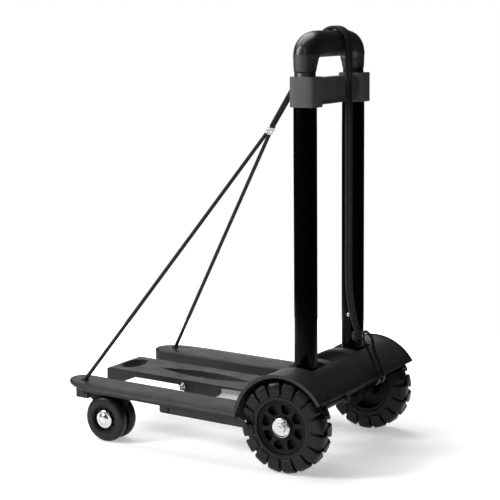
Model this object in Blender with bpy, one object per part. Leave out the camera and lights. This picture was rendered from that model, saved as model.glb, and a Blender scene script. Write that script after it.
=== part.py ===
"""Folding luggage cart: two oval telescopic tubes on a rear axle, a fold-up platform of three boards
on a half-round rear housing, two lugged rear wheels, two pairs of small front wheels and a bungee.

Metres, +Z up. The platform points to -Y, the handle stands at the rear, and left is +X. The origin
is on the floor under the middle of the cart without its bungee.
"""

import math

import bmesh
import bpy
from mathutils import Matrix, Vector

# Driving dimensions.
WHEEL_R = 0.065  # rear wheel, which also sets the axle's height
DECK_REACH = 0.380  # rear axle to the tips of the side boards
AXLE_Y = (DECK_REACH - WHEEL_R) / 2
AXLE_Z = WHEEL_R
GAP = 0.0003  # between pieces that touch

TUBE_X = 0.0693
TUBE_RX, TUBE_RY = 0.0125, 0.0165
TUBE_WALL = 0.0012
TUBE_TOP = 0.530
TUBE_FOOT_TOP = 0.092
BUTTON_Z = 0.185
HANDLE_TRAVEL = 0.300
BUTTON_HOLES = (BUTTON_Z, BUTTON_Z + 0.200, BUTTON_Z + HANDLE_TRAVEL)
BUTTON_R = 0.0032

CLAMP_Z = (0.4938, 0.5345)
CLAMP_RX, CLAMP_RY, CLAMP_Y = 0.0153, 0.0203, 0.0017
BRIDGE_Y = (-0.008, 0.010)
BRIDGE_Z = (0.4955, 0.5315)

GRIP_FOOT, GRIP_UNDER, GRIP_TOP = 0.5410, 0.5590, 0.5950
GRIP_BAR_Z = (GRIP_UNDER + GRIP_TOP) / 2
GRIP_R = (GRIP_TOP - GRIP_UNDER) / 2
GRIP_POST = 0.0143
GRIP_SWEEP, GRIP_CORNER, GRIP_FILLET = 0.046, 0.031, 0.009
GRIP_SOCKET = 0.568

DECK_TOP = 0.080
PLATE = 0.0035
SKIRT = 0.0025
SIDE_X = (0.0900, 0.1500)
SIDE_SKIRT_Z = 0.0645
NOSE_R = 0.020
CENTRE_X = 0.0400
CENTRE_FRONT = 0.372
NOSE_Z = 0.0605
SLOT_WALL, SLOT_Z = 0.0018, 0.0695
CORD_HOLE = (0.1176, -0.350)
CORD_HOLE_R = 0.0046
ANCHOR, ANCHOR_Z = 0.0103, 0.0550  # half the width of the cord's anchor box, and its underside
OUTER_SKIRT_X = 0.1485

HOUSING_R = 0.073
HOUSING_WALL = 0.003
HOUSING_X = 0.1424
LIP_ANGLE, FRONT_ANGLE = 33.3, 182.0
BEAD, BEAD_END = 0.0015, 166.0
WINDOW_X = (0.0450, 0.0900)
WINDOW_BACK = 0.020
RIB_X = ((0.0416, 0.0446), (0.0904, 0.0934))

AXLE_R = 0.005
WHEEL_X = (0.1070, 0.1405)
LUGS = 16
SPOKES = 8
POCKET_TURN = 33.0  # degrees, to the middle of the first pocket

FRONT_R = 0.034
FRONT_Y = -0.300
FORK_X = (0.1194, 0.1256)
DISC_X = ((0.1035, 0.1190), (0.1260, 0.1415))
FRONT_AXLE_R = 0.0035

CORD_D = 0.0055
STRAND_X = (-0.0110, -0.0210)
SPLIT_Z = 0.300

LEFT, RIGHT = 1, -1
SIDES = (("left", LEFT), ("right", RIGHT))


# Shared helpers -------------------------------------------------------------------------------


def clear_scene():
    for obj in list(bpy.data.objects):
        bpy.data.objects.remove(obj, do_unlink=True)


def material(name, colour, roughness, metallic=0.0):
    made = bpy.data.materials.new(name)
    made.use_nodes = True
    shader = made.node_tree.nodes["Principled BSDF"]
    shader.inputs["Base Color"].default_value = (*colour, 1.0)
    shader.inputs["Roughness"].default_value = roughness
    shader.inputs["Metallic"].default_value = metallic
    made.diffuse_color = (*colour, 1.0)
    return made


def pivot(name, place):
    """An empty on a joint's axis, in cart coordinates with Y from the rear axle."""
    empty = bpy.data.objects.new(name, None)
    empty.location = (place[0], place[1] + AXLE_Y, place[2])
    bpy.context.collection.objects.link(empty)
    return empty


def add(name, shape, mat, group):
    """Make an object of a bmesh drawn with Y from the rear axle, with its origin on its group's empty."""
    bmesh.ops.remove_doubles(shape, verts=shape.verts, dist=1e-6)
    bmesh.ops.recalc_face_normals(shape, faces=shape.faces)
    mesh = bpy.data.meshes.new(name)
    shape.to_mesh(mesh)
    shape.free()
    mesh.transform(Matrix.Translation(Vector((0, AXLE_Y, 0)) - group.location))
    mesh.shade_smooth()
    mesh.set_sharp_from_angle(angle=math.radians(35))
    obj = bpy.data.objects.new(name, mesh)
    obj.data.materials.append(mat)
    obj.parent = group
    bpy.context.collection.objects.link(obj)
    return obj


def combine(obj, operation, shapes):
    """Cut the shapes from an object, or join them to it."""
    for number, shape in enumerate(shapes):
        helper = add(f"{obj.name}_{operation.lower()}_{number}", shape, obj.data.materials[0], obj.parent)
        helper.hide_render = True
        helper.display_type = "WIRE"
        step = obj.modifiers.new(f"{operation.title()} {number}", "BOOLEAN")
        step.operation = operation
        step.solver = "EXACT"
        step.object = helper


def loft(loops, around=False):
    """A closed body through equal loops of points, its ends capped, or joined where it goes around."""
    shape = bmesh.new()
    rings = [[shape.verts.new(point) for point in loop] for loop in loops]
    pairs = list(zip(rings, rings[1:]))
    if around:
        pairs.append((rings[-1], rings[0]))
    for lower, upper in pairs:
        for k in range(len(lower)):
            n = (k + 1) % len(lower)
            shape.faces.new((lower[k], lower[n], upper[n], upper[k]))
    if not around:
        shape.faces.new(rings[0])
        shape.faces.new(rings[-1])
    return shape


def place(axis, u, v, along):
    """A point from its two cross-section coordinates and its place along an axis."""
    return {"X": (along, u, v), "Y": (u, along, v), "Z": (u, v, along)}[axis]


def prism(outline, axis, ends):
    return loft([[place(axis, u, v, end) for u, v in outline] for end in ends])


def box(xs, ys, zs):
    return prism([(xs[0], ys[0]), (xs[1], ys[0]), (xs[1], ys[1]), (xs[0], ys[1])], "Z", zs)


def arc(centre, radius, start, stop, steps):
    """Points of an arc, in degrees from the first axis towards the second."""
    angles = [math.radians(start + (stop - start) * k / steps) for k in range(steps + 1)]
    rx, ry = radius if isinstance(radius, tuple) else (radius, radius)
    return [(centre[0] + rx * math.cos(a), centre[1] + ry * math.sin(a)) for a in angles]


def circle(centre, radius, steps):
    return arc(centre, radius, 0, 360, steps)[:-1]


def oval(centre, rx, ry, steps=24, power=2.3):
    """A tube's oval section, a little squarer than an ellipse."""
    points = []
    for k in range(steps):
        a = 2 * math.pi * k / steps
        c, s = math.cos(a), math.sin(a)
        points.append(
            (
                centre[0] + rx * math.copysign(abs(c) ** (2 / power), c),
                centre[1] + ry * math.copysign(abs(s) ** (2 / power), s),
            )
        )
    return points


def rod(axis, centre, radius, ends, steps=16):
    return prism(circle(centre, radius, steps), axis, ends)


def turned(profile, centre, steps):
    """A body turned about a line along X, from (x, radius) pairs with a capped face at each end."""
    return loft([[(x, u, v) for u, v in circle(centre, r, steps)] for x, r in profile])


def turned_ring(profile, centre, steps):
    """A ring turned about a line along X, from a closed loop of (x, radius) pairs."""
    loops = []
    for k in range(steps):
        a = 2 * math.pi * k / steps
        loops.append([(x, centre[0] + r * math.cos(a), centre[1] + r * math.sin(a)) for x, r in profile])
    return loft(loops, around=True)


def pipe(outer, inner, ends):
    """An upright tube wall between two equal outlines."""
    loops = []
    for (ux, uy), (vx, vy) in zip(outer, inner):
        loops.append([(ux, uy, ends[0]), (ux, uy, ends[1]), (vx, vy, ends[1]), (vx, vy, ends[0])])
    return loft(loops, around=True)


def mirrored(side, xs):
    return tuple(sorted(side * x for x in xs))


# Mast: the body that stands still ---------------------------------------------------------------


def outer_tube(side):
    centre = (side * TUBE_X, 0)
    tube = add(
        f"outer_tube_{NAMES[side]}",
        pipe(
            oval(centre, TUBE_RX, TUBE_RY),
            oval(centre, TUBE_RX - TUBE_WALL, TUBE_RY - TUBE_WALL),
            (TUBE_FOOT_TOP, TUBE_TOP),
        ),
        BLACK_PAINT,
        MAST,
    )
    inner_face = side * (TUBE_X - TUBE_RX)
    ends = mirrored(1, (inner_face - side * 0.002, inner_face + side * 0.004))
    combine(tube, "DIFFERENCE", [rod("X", (0, z), BUTTON_R + 0.0006, ends) for z in BUTTON_HOLES])


def tube_foot(side):
    """The knuckle on the axle, with a plug that fills the tube's lower end."""
    half = TUBE_RX - 0.0015
    knuckle = arc((0, AXLE_Z), TUBE_RY, 180, 360, 16) + [
        (TUBE_RY, TUBE_FOOT_TOP - GAP),
        (-TUBE_RY, TUBE_FOOT_TOP - GAP),
    ]
    foot = add(
        f"tube_foot_{NAMES[side]}",
        prism(knuckle, "X", mirrored(side, (TUBE_X - half, TUBE_X + half))),
        BLACK_PLASTIC,
        MAST,
    )
    plug = oval((side * TUBE_X, 0), TUBE_RX - TUBE_WALL - GAP, TUBE_RY - TUBE_WALL - GAP)
    combine(foot, "UNION", [prism(plug, "Z", (TUBE_FOOT_TOP - 0.004, TUBE_FOOT_TOP + 0.028))])
    bore = rod("X", (0, AXLE_Z), AXLE_R + 0.0002, mirrored(side, (TUBE_X - 0.02, TUBE_X + 0.02)), 24)
    combine(foot, "DIFFERENCE", [bore])


def tube_clamp():
    """Two blocks around the tops of the outer tubes, joined by a plate."""
    clamp = add("tube_clamp", box((-0.058, 0.058), BRIDGE_Y, BRIDGE_Z), CLAMP_PLASTIC, MAST)
    blocks = []
    cuts = []
    for _, side in SIDES:
        centre = (side * TUBE_X, 0)
        block = oval((centre[0], CLAMP_Y), CLAMP_RX, CLAMP_RY, 24, 4.0)
        seat = oval(centre, TUBE_RX + GAP, TUBE_RY + GAP)
        mouth = oval(centre, TUBE_RX - TUBE_WALL, TUBE_RY - TUBE_WALL)
        blocks.append(prism(block, "Z", CLAMP_Z))
        cuts.append(prism(seat, "Z", (CLAMP_Z[0] - 0.001, TUBE_TOP + GAP)))
        cuts.append(prism(mouth, "Z", (CLAMP_Z[0], CLAMP_Z[1] + 0.001)))
    combine(clamp, "UNION", blocks)
    combine(clamp, "DIFFERENCE", cuts)


def rear_axle():
    half = WHEEL_X[1] - 0.003
    add("rear_axle", rod("X", (0, AXLE_Z), AXLE_R, (-half, half), 20), STEEL, MAST)


def rear_cap(side):
    """A pressed cap over each end of the axle, with a raised hexagon."""
    inner = WHEEL_X[1] - 0.003 + GAP
    profile = [(inner, 0.0125), (inner + 0.0006, 0.0138), (inner + 0.0016, 0.0138), (inner + 0.0022, 0.0128)]
    add(
        f"rear_cap_{NAMES[side]}",
        turned([(side * x, r) for x, r in profile], (0, AXLE_Z), 18),
        CHROME,
        MAST,
    )
    head = rod("X", (0, AXLE_Z), 0.0075, mirrored(side, (inner + 0.001, inner + 0.0060)), 6)
    combine(bpy.data.objects[f"rear_cap_{NAMES[side]}"], "UNION", [head])


def wheel_spacer(side):
    ends = (RIB_X[1][1] + GAP, WHEEL_X[0] + 0.0010 - GAP)
    profile = [(ends[0], AXLE_R + 0.0003), (ends[0], 0.0085), (ends[1], 0.0085), (ends[1], AXLE_R + 0.0003)]
    shape = turned_ring([(side * x, r) for x, r in profile], (0, AXLE_Z), 20)
    add(f"wheel_spacer_{NAMES[side]}", shape, BLACK_PLASTIC, MAST)


# Rear wheels ------------------------------------------------------------------------------------


def rear_tyre(side, group):
    """A tyre whose lugs stand out over the tread and the shoulders."""
    middle = sum(WHEEL_X) / 2
    half = (WHEEL_X[1] - WHEEL_X[0]) / 2
    loops = []
    for lug in range(LUGS):
        for share, raised in ((0.02, 1), (0.39, 1), (0.76, 1), (0.80, 0), (0.98, 0)):
            a = 2 * math.pi * (lug + share) / LUGS
            crown = WHEEL_R - 0.0035 * (1 - raised)
            shoulder = half - 0.0020 * (1 - raised)
            profile = [
                (-half + 0.002, 0.0378),
                (-shoulder, 0.0480),
                (-shoulder, crown - 0.0060),
                (-shoulder + 0.005, crown),
                (shoulder - 0.005, crown),
                (shoulder, crown - 0.0060),
                (shoulder, 0.0480),
                (half - 0.002, 0.0378),
            ]
            loops.append(
                [
                    (side * (middle + x), r * math.cos(a), AXLE_Z + r * math.sin(a))
                    for x, r in profile
                ]
            )
    add(f"rear_tyre_{NAMES[side]}", loft(loops, around=True), RUBBER, group)


def rear_rim(side, group):
    """The hub, the web with its pockets between the spokes, and the ring that carries the tyre."""
    inner, outer = WHEEL_X[0] + 0.001, WHEEL_X[1] - 0.0035
    web = (outer - 0.0110, outer - 0.0020)
    profile = [
        (inner, 0.0085),
        (inner, 0.0150),
        (web[0], 0.0170),
        (web[0], 0.0325),
        (inner + 0.001, 0.0335),
        (inner + 0.001, 0.0378 - GAP),
        (outer, 0.0378 - GAP),
        (outer, 0.0335),
        (web[1], 0.0325),
        (web[1], 0.0170),
        (outer, 0.0150),
        (outer, 0.0085),
    ]
    rim = add(
        f"rear_rim_{NAMES[side]}",
        turned_ring([(side * x, r) for x, r in profile], (0, AXLE_Z), 32),
        RIM_PLASTIC,
        group,
    )
    cutters = []
    for spoke in range(SPOKES):
        mid = 360 * spoke / SPOKES + POCKET_TURN
        outline = [
            (r * math.cos(math.radians(mid + turn)), AXLE_Z + r * math.sin(math.radians(mid + turn)))
            for r, turn in ((0.0195, -10), (0.0195, 10), (0.0255, 15), (0.0310, 16), (0.0310, -16), (0.0255, -15))
        ]
        cutters.append(prism(outline, "X", mirrored(side, (web[0] + 0.002, web[1] + 0.002))))
    combine(rim, "DIFFERENCE", cutters)


def rear_bush(side, group):
    ends = (WHEEL_X[0] + 0.0012, WHEEL_X[1] - 0.0037)
    profile = [(ends[0], AXLE_R + 0.0003), (ends[0], 0.0082), (ends[1], 0.0082), (ends[1], AXLE_R + 0.0003)]
    shape = turned_ring([(side * x, r) for x, r in profile], (0, AXLE_Z), 20)
    add(f"rear_bush_{NAMES[side]}", shape, GREY_NYLON, group)


# Handle -----------------------------------------------------------------------------------------


def inner_section(side, inset=0.0):
    r = TUBE_WALL + GAP + inset
    return oval((side * TUBE_X, 0), TUBE_RX - r, TUBE_RY - r)


def inner_tube(side):
    tube = add(
        f"inner_tube_{NAMES[side]}",
        pipe(inner_section(side), inner_section(side, 0.001), (BUTTON_Z - 0.018, GRIP_SOCKET - GAP)),
        CHROME_BLACK,
        HANDLE,
    )
    face = side * (TUBE_X - TUBE_RX)
    ends = mirrored(1, (face, face + side * 0.006))
    combine(tube, "DIFFERENCE", [rod("X", (0, BUTTON_Z), BUTTON_R + 0.0003, ends)])


def tube_glide(side):
    """A plastic shoe that closes the inner tube's lower end and keeps it centred."""
    bottom = BUTTON_Z - 0.018
    glide = add(
        f"tube_glide_{NAMES[side]}",
        prism(inner_section(side), "Z", (bottom - 0.008, bottom - GAP)),
        BLACK_PLASTIC,
        HANDLE,
    )
    combine(glide, "UNION", [prism(inner_section(side, 0.001 + GAP), "Z", (bottom - 0.002, bottom + 0.006))])


def grip_stations():
    """Pairs of (outer, inner) points in X and Z, from the foot of the left post to the middle."""
    outer_x, inner_x = TUBE_X + GRIP_POST, TUBE_X - GRIP_POST
    turn_z = GRIP_TOP - GRIP_CORNER
    pairs = [
        ((outer_x, GRIP_FOOT), (inner_x, GRIP_FOOT)),
        ((outer_x, GRIP_FOOT + 0.010), (inner_x - 0.0012, GRIP_FOOT + 0.006)),
    ]
    steps = 6
    for k in range(steps + 1):
        a = math.pi / 2 * k / steps
        outside = (outer_x - GRIP_SWEEP * (1 - math.cos(a)), turn_z + GRIP_CORNER * math.sin(a))
        flare = 0.0035 + GRIP_FILLET * (1 - math.cos(a))
        inside = (inner_x - flare, GRIP_UNDER - GRIP_FILLET * (1 - math.sin(a)))
        pairs.append((outside, inside))
    pairs.append(((0.0, GRIP_TOP), (0.0, GRIP_UNDER)))
    return pairs


def grip():
    """The arched grip, an upturned U whose posts hold the inner tubes."""
    left = grip_stations()
    right = [tuple((-x, z) for x, z in pair) for pair in reversed(left[:-1])]
    loops = []
    for (ox, oz), (ix, iz) in left + right:
        centre = Vector(((ox + ix) / 2, 0, (oz + iz) / 2))
        across = Vector(((ox - ix) / 2, 0, (oz - iz) / 2))
        rise = min(1.0, max(0.0, (centre.z - GRIP_FOOT) / (GRIP_BAR_Z - GRIP_FOOT)))
        depth = GRIP_POST + 0.0015 + (GRIP_R - GRIP_POST - 0.0015) * rise
        loops.append([centre + across * u + Vector((0, v * depth, 0)) for u, v in oval((0, 0), 1, 1, 16, 2.2)])
    handle_grip = add("handle_grip", loft(loops), GRIP_PLASTIC, HANDLE)
    sockets = [prism(inner_section(side, -GAP), "Z", (GRIP_FOOT - 0.002, GRIP_SOCKET)) for _, side in SIDES]
    combine(handle_grip, "DIFFERENCE", sockets)


def snap_button(side):
    """The sprung stud that locks the telescope, in the inner face of each tube."""
    face = TUBE_X - TUBE_RX
    group = pivot(f"button_axis_{NAMES[side]}", (side * face, 0, BUTTON_Z))
    profile = [
        (face + 0.0060, 0.0042),
        (face + 0.0034, 0.0042),
        (face + 0.0034, BUTTON_R),
        (face - 0.0012, BUTTON_R),
        (face - 0.0022, 0.0020),
    ]
    shape = turned([(side * x, r) for x, r in profile], (0, BUTTON_Z), 16)
    add(f"snap_button_{NAMES[side]}", shape, CHROME, group)


def snap_spring(side):
    """A leaf bent into a V inside the inner tube, one leg behind the button."""
    near = TUBE_X - TUBE_RX + 0.0066
    far = TUBE_X + TUBE_RX - 0.0034
    low, high = BUTTON_Z - 0.006, BUTTON_Z + 0.034
    leaf = 0.0006
    mid = (near + far) / 2
    outline = [
        (near, low),
        (near, high - 0.012),
        (mid - 0.001, high),
        (mid + 0.001, high),
        (far, high - 0.012),
        (far, low + 0.004),
        (far - leaf, low + 0.004),
        (far - leaf, high - 0.012),
        (mid + 0.0006, high - leaf),
        (mid - 0.0006, high - leaf),
        (near + leaf, high - 0.012),
        (near + leaf, low),
    ]
    shape = prism([(side * x, z) for x, z in outline], "Y", (-0.004, 0.004))
    add(f"snap_spring_{NAMES[side]}", shape, STEEL, HANDLE)


# Platform ---------------------------------------------------------------------------------------


def wedge(radius_in, radius_out, start, stop, steps):
    outer = arc((0, AXLE_Z), radius_out, start, stop, steps)
    inner = arc((0, AXLE_Z), radius_in, stop, start, steps)
    return outer + inner


def rear_housing():
    """The half-round cover over the wheels and the axle, with ribs that turn on the axle."""
    inside = HOUSING_R - HOUSING_WALL
    shell = prism(wedge(inside, HOUSING_R, LIP_ANGLE, FRONT_ANGLE, 18), "X", (-HOUSING_X, HOUSING_X))
    housing = add("rear_housing", shell, BLACK_PLASTIC, PLATFORM)
    lip = wedge(inside - 0.0002, HOUSING_R + BEAD, LIP_ANGLE - 0.5, LIP_ANGLE + 2.5, 1)
    joined = [prism(lip, "X", (-HOUSING_X + 0.001, HOUSING_X - 0.001))]
    for _, side in SIDES:
        bead = wedge(inside - 0.0003, HOUSING_R + BEAD, LIP_ANGLE - 0.3, BEAD_END, 16)
        joined.append(prism(bead, "X", mirrored(side, (HOUSING_X - 0.003, HOUSING_X + 0.0004))))
        for ends in RIB_X:
            rim = arc((0, AXLE_Z), inside + 0.0012, LIP_ANGLE + 1, FRONT_ANGLE - 1, 10)
            boss = arc((0, AXLE_Z), 0.010, 200, 380, 6)
            joined.append(prism(rim + boss, "X", mirrored(side, ends)))
    combine(housing, "UNION", joined)
    cuts = [
        box(mirrored(side, WINDOW_X), (-0.090, WINDOW_BACK), (0.040, 0.150)) for _, side in SIDES
    ]
    cuts.append(box((-0.030, 0.030), (-0.050, WINDOW_BACK), (0.085, 0.150)))
    cuts.append(rod("X", (0, AXLE_Z), AXLE_R + 0.0003, (-0.12, 0.12), 16))
    combine(housing, "DIFFERENCE", cuts)


def housing_cutter(xs):
    """Trims a board's rear end to the housing's curve."""
    return rod("X", (0, AXLE_Z), HOUSING_R + GAP, xs, 48)


def side_outline(inset=0.0):
    """A side board's plan: straight sides and a nose rounded towards the outside."""
    inner, outer = SIDE_X[0] + inset, SIDE_X[1] - inset
    tip = -DECK_REACH + inset
    nose = arc((0.110, -0.300), (outer - 0.110, -0.300 - tip), 0, -90, 12)
    corner = arc((inner + NOSE_R - inset, tip + NOSE_R - inset), NOSE_R - inset, 270, 180, 8)
    return [(inner, -0.066), (outer, -0.066)] + nose + corner


def side_board(side):
    """A plate with an inner skirt that wraps its nose, an outer skirt at the rear and a cord anchor."""
    plan = [(side * x, y) for x, y in side_outline()]
    board = add(
        f"{NAMES[side]}_board", prism(plan, "Z", (DECK_TOP - PLATE, DECK_TOP)), BOARD_PLASTIC, PLATFORM
    )
    top = DECK_TOP - PLATE + 0.0005
    wrap = arc((SIDE_X[0] + NOSE_R, -DECK_REACH + NOSE_R), NOSE_R, 180, 270, 8)
    wrap += arc((SIDE_X[0] + NOSE_R, -DECK_REACH + NOSE_R), NOSE_R - SKIRT, 270, 180, 8)
    x, y = CORD_HOLE
    joined = [
        box(mirrored(side, (SIDE_X[0], SIDE_X[0] + SKIRT)), (-0.362, -0.066), (SIDE_SKIRT_Z, top)),
        prism([(side * u, v) for u, v in wrap], "Z", (SIDE_SKIRT_Z, top)),
        box(mirrored(side, (OUTER_SKIRT_X - SKIRT, OUTER_SKIRT_X)), (-0.194, -0.066), (0.062, top)),
        box(mirrored(side, (SIDE_X[0] + 0.001, 0.147)), (-0.183, -0.180), (0.066, top)),
        box(mirrored(side, (x - ANCHOR, x + ANCHOR)), (y - ANCHOR, y + ANCHOR), (ANCHOR_Z, top)),
    ]
    combine(board, "UNION", joined)
    inside = ANCHOR - 0.0018
    cuts = [
        box(mirrored(side, (x - inside, x + inside)), (y - inside, y + inside), (ANCHOR_Z - 0.001, DECK_TOP - PLATE)),
        prism(
            [(y + 0.0010, 0.0705), (y + 0.0078, 0.0705), (y + 0.0072, 0.0585)],
            "X",
            mirrored(side, (x + inside - 0.002, x + ANCHOR + 0.001)),
        ),
        rod("Z", (side * x, y), CORD_HOLE_R, (DECK_TOP - 0.01, DECK_TOP + 0.01), 12),
        housing_cutter(mirrored(side, (SIDE_X[0] - 0.01, SIDE_X[1] + 0.01))),
    ]
    combine(board, "DIFFERENCE", cuts)


def leaf_outline(length, half, steps=12):
    """A pointed oval: two sine sides that meet at its ends."""
    there = [(half * math.sin(math.pi * k / steps), length * k / steps) for k in range(steps + 1)]
    back = [(-x, y) for x, y in reversed(there[1:-1])]
    return there + back


def centre_board():
    """The middle board: a plate with a turned-down nose, shallow front skirts and deep rear ones."""
    nose = 0.009
    front = -CENTRE_FRONT
    profile = [(-0.066, DECK_TOP), (front + nose, DECK_TOP)]
    profile += arc((front + nose, DECK_TOP - nose), nose, 90, 180, 6)[1:]
    profile += [(front, NOSE_Z), (front + SKIRT, NOSE_Z), (front + SKIRT, DECK_TOP - nose)]
    profile += arc((front + nose, DECK_TOP - nose), nose - SKIRT, 180, 90, 4)[1:]
    profile += [(front + 0.02, DECK_TOP - PLATE), (-0.066, DECK_TOP - PLATE)]
    board = add("centre_board", prism(profile, "X", (-CENTRE_X, CENTRE_X)), BOARD_PLASTIC, PLATFORM)
    top = DECK_TOP - PLATE + 0.0005
    joined = []
    for _, side in SIDES:
        edge = mirrored(side, (CENTRE_X - SKIRT, CENTRE_X))
        cheek = [(front + 0.0060, top), (front + 0.0030, 0.0710), (front + 0.0030, NOSE_Z)]
        cheek += [(-0.344, NOSE_Z), (-0.315, 0.0715), (-0.315, top)]
        joined.append(prism(cheek, "X", edge))
        joined.append(box(edge, (-0.316, -0.066), (0.0710, top)))
        joined.append(box(edge, (-0.235, -0.066), (SIDE_SKIRT_Z, top)))
    joined.append(box((-CENTRE_X + 0.001, CENTRE_X - 0.001), (-0.235, -0.232), (SIDE_SKIRT_Z, top)))
    collars = (SLOT_Z, top)
    joined.append(prism(oval((0, -0.346), 0.025 + SLOT_WALL, 0.0145 + SLOT_WALL, 28, 2.2), "Z", collars))
    wall = [(x, -0.294 - 2 * SLOT_WALL + y) for x, y in leaf_outline(0.160 + 4 * SLOT_WALL, 0.014 + SLOT_WALL)]
    joined.append(prism(wall, "Z", collars))
    combine(board, "UNION", joined)
    heights = (SLOT_Z - 0.01, DECK_TOP + 0.01)
    leaf = [(x, -0.294 + y) for x, y in leaf_outline(0.160, 0.014)]
    corner = [
        [(side * (CENTRE_X + 0.002), front - 0.002)]
        + arc((side * (CENTRE_X - 0.006), front + 0.006), (side * 0.0062, 0.0062), 270, 360, 5)
        + [(side * (CENTRE_X + 0.002), front + 0.006)]
        for _, side in SIDES
    ]
    cuts = [
        prism(oval((0, -0.346), 0.025, 0.0145, 28, 2.2), "Z", heights),
        prism(leaf, "Z", heights),
        housing_cutter((-CENTRE_X - 0.01, CENTRE_X + 0.01)),
        rod("X", (PIN_Y, PIN_Z), PIN_R + 0.0003, (-CENTRE_X - 0.01, CENTRE_X + 0.01), 8),
    ]
    combine(board, "DIFFERENCE", cuts + [prism(c, "Z", (0.05, 0.09)) for c in corner])


def cross_pin():
    """A steel pin across the centre board, riveted over a collar at each end."""
    collar, end = CENTRE_X + GAP, CENTRE_X + 0.0085
    profile = [(-end, PIN_R - 0.0005), (-end + 0.0005, PIN_R), (-collar - 0.0042, PIN_R)]
    profile += [(-collar - 0.0042, 0.0046), (-collar, 0.0046), (-collar, PIN_R)]
    profile += [(-x, r) for x, r in reversed(profile)]
    add("cross_pin", turned(profile, (PIN_Y, PIN_Z), 8), STEEL, PLATFORM)


def deck_bracket(side):
    """A zinc-plated angle beside the centre board, next to the housing."""
    leg = (CENTRE_X + GAP, CENTRE_X + 0.0018)
    outline = [
        (leg[0], 0.0655),
        (leg[0], 0.0760),
        (leg[1], 0.0760),
        (leg[1], 0.0698),
        (CENTRE_X + 0.0140, 0.0662),
        (CENTRE_X + 0.0140, 0.0646),
        (leg[1] + 0.0010, 0.0680),
        (leg[1], 0.0655),
    ]
    shape = prism([(side * x, z) for x, z in outline], "Y", (-0.158, -0.080))
    add(f"deck_bracket_{NAMES[side]}", shape, ZINC, PLATFORM)


def front_fork(side):
    """A cheek between the two discs, under a plate that holds it to the board."""
    cheek = arc((FRONT_Y, FRONT_R), 0.0120, 180, 360, 10) + [
        (FRONT_Y + 0.016, 0.0440),
        (FRONT_Y + 0.036, 0.0640),
        (FRONT_Y + 0.036, 0.0722),
        (FRONT_Y - 0.037, 0.0722),
        (FRONT_Y - 0.037, 0.0600),
        (FRONT_Y - 0.018, 0.0440),
    ]
    fork = add(f"front_fork_{NAMES[side]}", prism(cheek, "X", mirrored(side, FORK_X)), BLACK_PLASTIC, PLATFORM)
    top = DECK_TOP - PLATE - GAP
    plate = box(mirrored(side, (0.1000, 0.1420)), (FRONT_Y - 0.030, FRONT_Y + 0.030), (top - 0.0050, top))
    combine(fork, "UNION", [plate])
    bore = rod("X", (FRONT_Y, FRONT_R), FRONT_AXLE_R + 0.0002, mirrored(side, (0.110, 0.135)), 16)
    combine(fork, "DIFFERENCE", [bore])


def front_axle(side):
    ends = mirrored(side, (DISC_X[0][0] - 0.002, DISC_X[1][1] - 0.0030))
    add(f"front_axle_{NAMES[side]}", rod("X", (FRONT_Y, FRONT_R), FRONT_AXLE_R, ends, 16), STEEL, PLATFORM)


def front_cap(side):
    inner = DISC_X[1][1] - 0.0030 + GAP
    profile = [(inner, 0.0120), (inner + 0.0010, 0.0135), (inner + 0.0020, 0.0125)]
    profile += [(inner + 0.0032, 0.0070), (inner + 0.0045, 0.0050)]
    shape = turned([(side * x, r) for x, r in profile], (FRONT_Y, FRONT_R), 16)
    add(f"front_cap_{NAMES[side]}", shape, CHROME, PLATFORM)


def cord_knot(side):
    """The bungee's end: a knot in its anchor box, too big to pull through the hole."""
    x, y = CORD_HOLE
    top = DECK_TOP - PLATE - GAP
    profile = [(0.0655, 0.0040), (0.0670, 0.0068), (0.0710, 0.0078), (top - 0.0015, 0.0070), (top, 0.0050)]
    profile += [(top + 0.0004, 0.0030)]
    loops = [[(side * u, v, z) for u, v in circle((x, y), r, 12)] for z, r in profile]
    add(f"cord_knot_{NAMES[side]}", loft(loops), CORD_BLACK, PLATFORM)


# Front wheels -----------------------------------------------------------------------------------


def front_disc(side, place_name, ends):
    """One of the two discs on a front axle: a tyre on a hub, with the hub's web set back."""
    group = pivot(f"front_axis_{place_name}_{NAMES[side]}", (0, FRONT_Y, FRONT_R))
    low, high = ends
    centre = (FRONT_Y, FRONT_R)
    tyre = [
        (low + 0.0005, 0.0215),
        (low + 0.0005, 0.0290),
        (low + 0.0030, 0.0330),
        (low + 0.0055, FRONT_R),
        (high - 0.0055, FRONT_R),
        (high - 0.0030, 0.0330),
        (high - 0.0005, 0.0290),
        (high - 0.0005, 0.0215),
    ]
    hub = [
        (low + 0.0005, FRONT_AXLE_R + 0.0003),
        (low + 0.0045, 0.0100),
        (low + 0.0045, 0.0180),
        (low + 0.0010, 0.0215 - GAP),
        (high - 0.0010, 0.0215 - GAP),
        (high - 0.0045, 0.0180),
        (high - 0.0045, 0.0100),
        (high - 0.0035, FRONT_AXLE_R + 0.0003),
    ]
    name = f"{place_name}_{NAMES[side]}"
    shape = turned_ring([(side * x, r) for x, r in tyre], centre, 24)
    add(f"front_tyre_{name}", shape, FRONT_RUBBER, group)
    add(f"front_hub_{name}", turned_ring([(side * x, r) for x, r in hub], centre, 16), RIM_PLASTIC, group)


# Bungee -----------------------------------------------------------------------------------------

CLIP = Vector((-0.0110, -0.1030, 0.4537))
CLIP_LENGTH = 0.012
OVER_R = GRIP_R + CORD_D / 2 + 0.0005  # the cord's middle, behind the grip's
KNOT = Vector((-0.0260, 0.0300, 0.1640))
HOOK_X = (-0.0230, -0.0390)
WIRE_R = 0.0021
HOOK_BEND = (  # degrees and radius about the axle, down the housing's back and under its lip
    (58, 0.0935),
    (47, 0.0840),
    (39, 0.0795),
    (34, 0.0783),
    (30.2, 0.0764),
    (28.2, 0.0730),
    (27.6, 0.0690),
)


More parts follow.
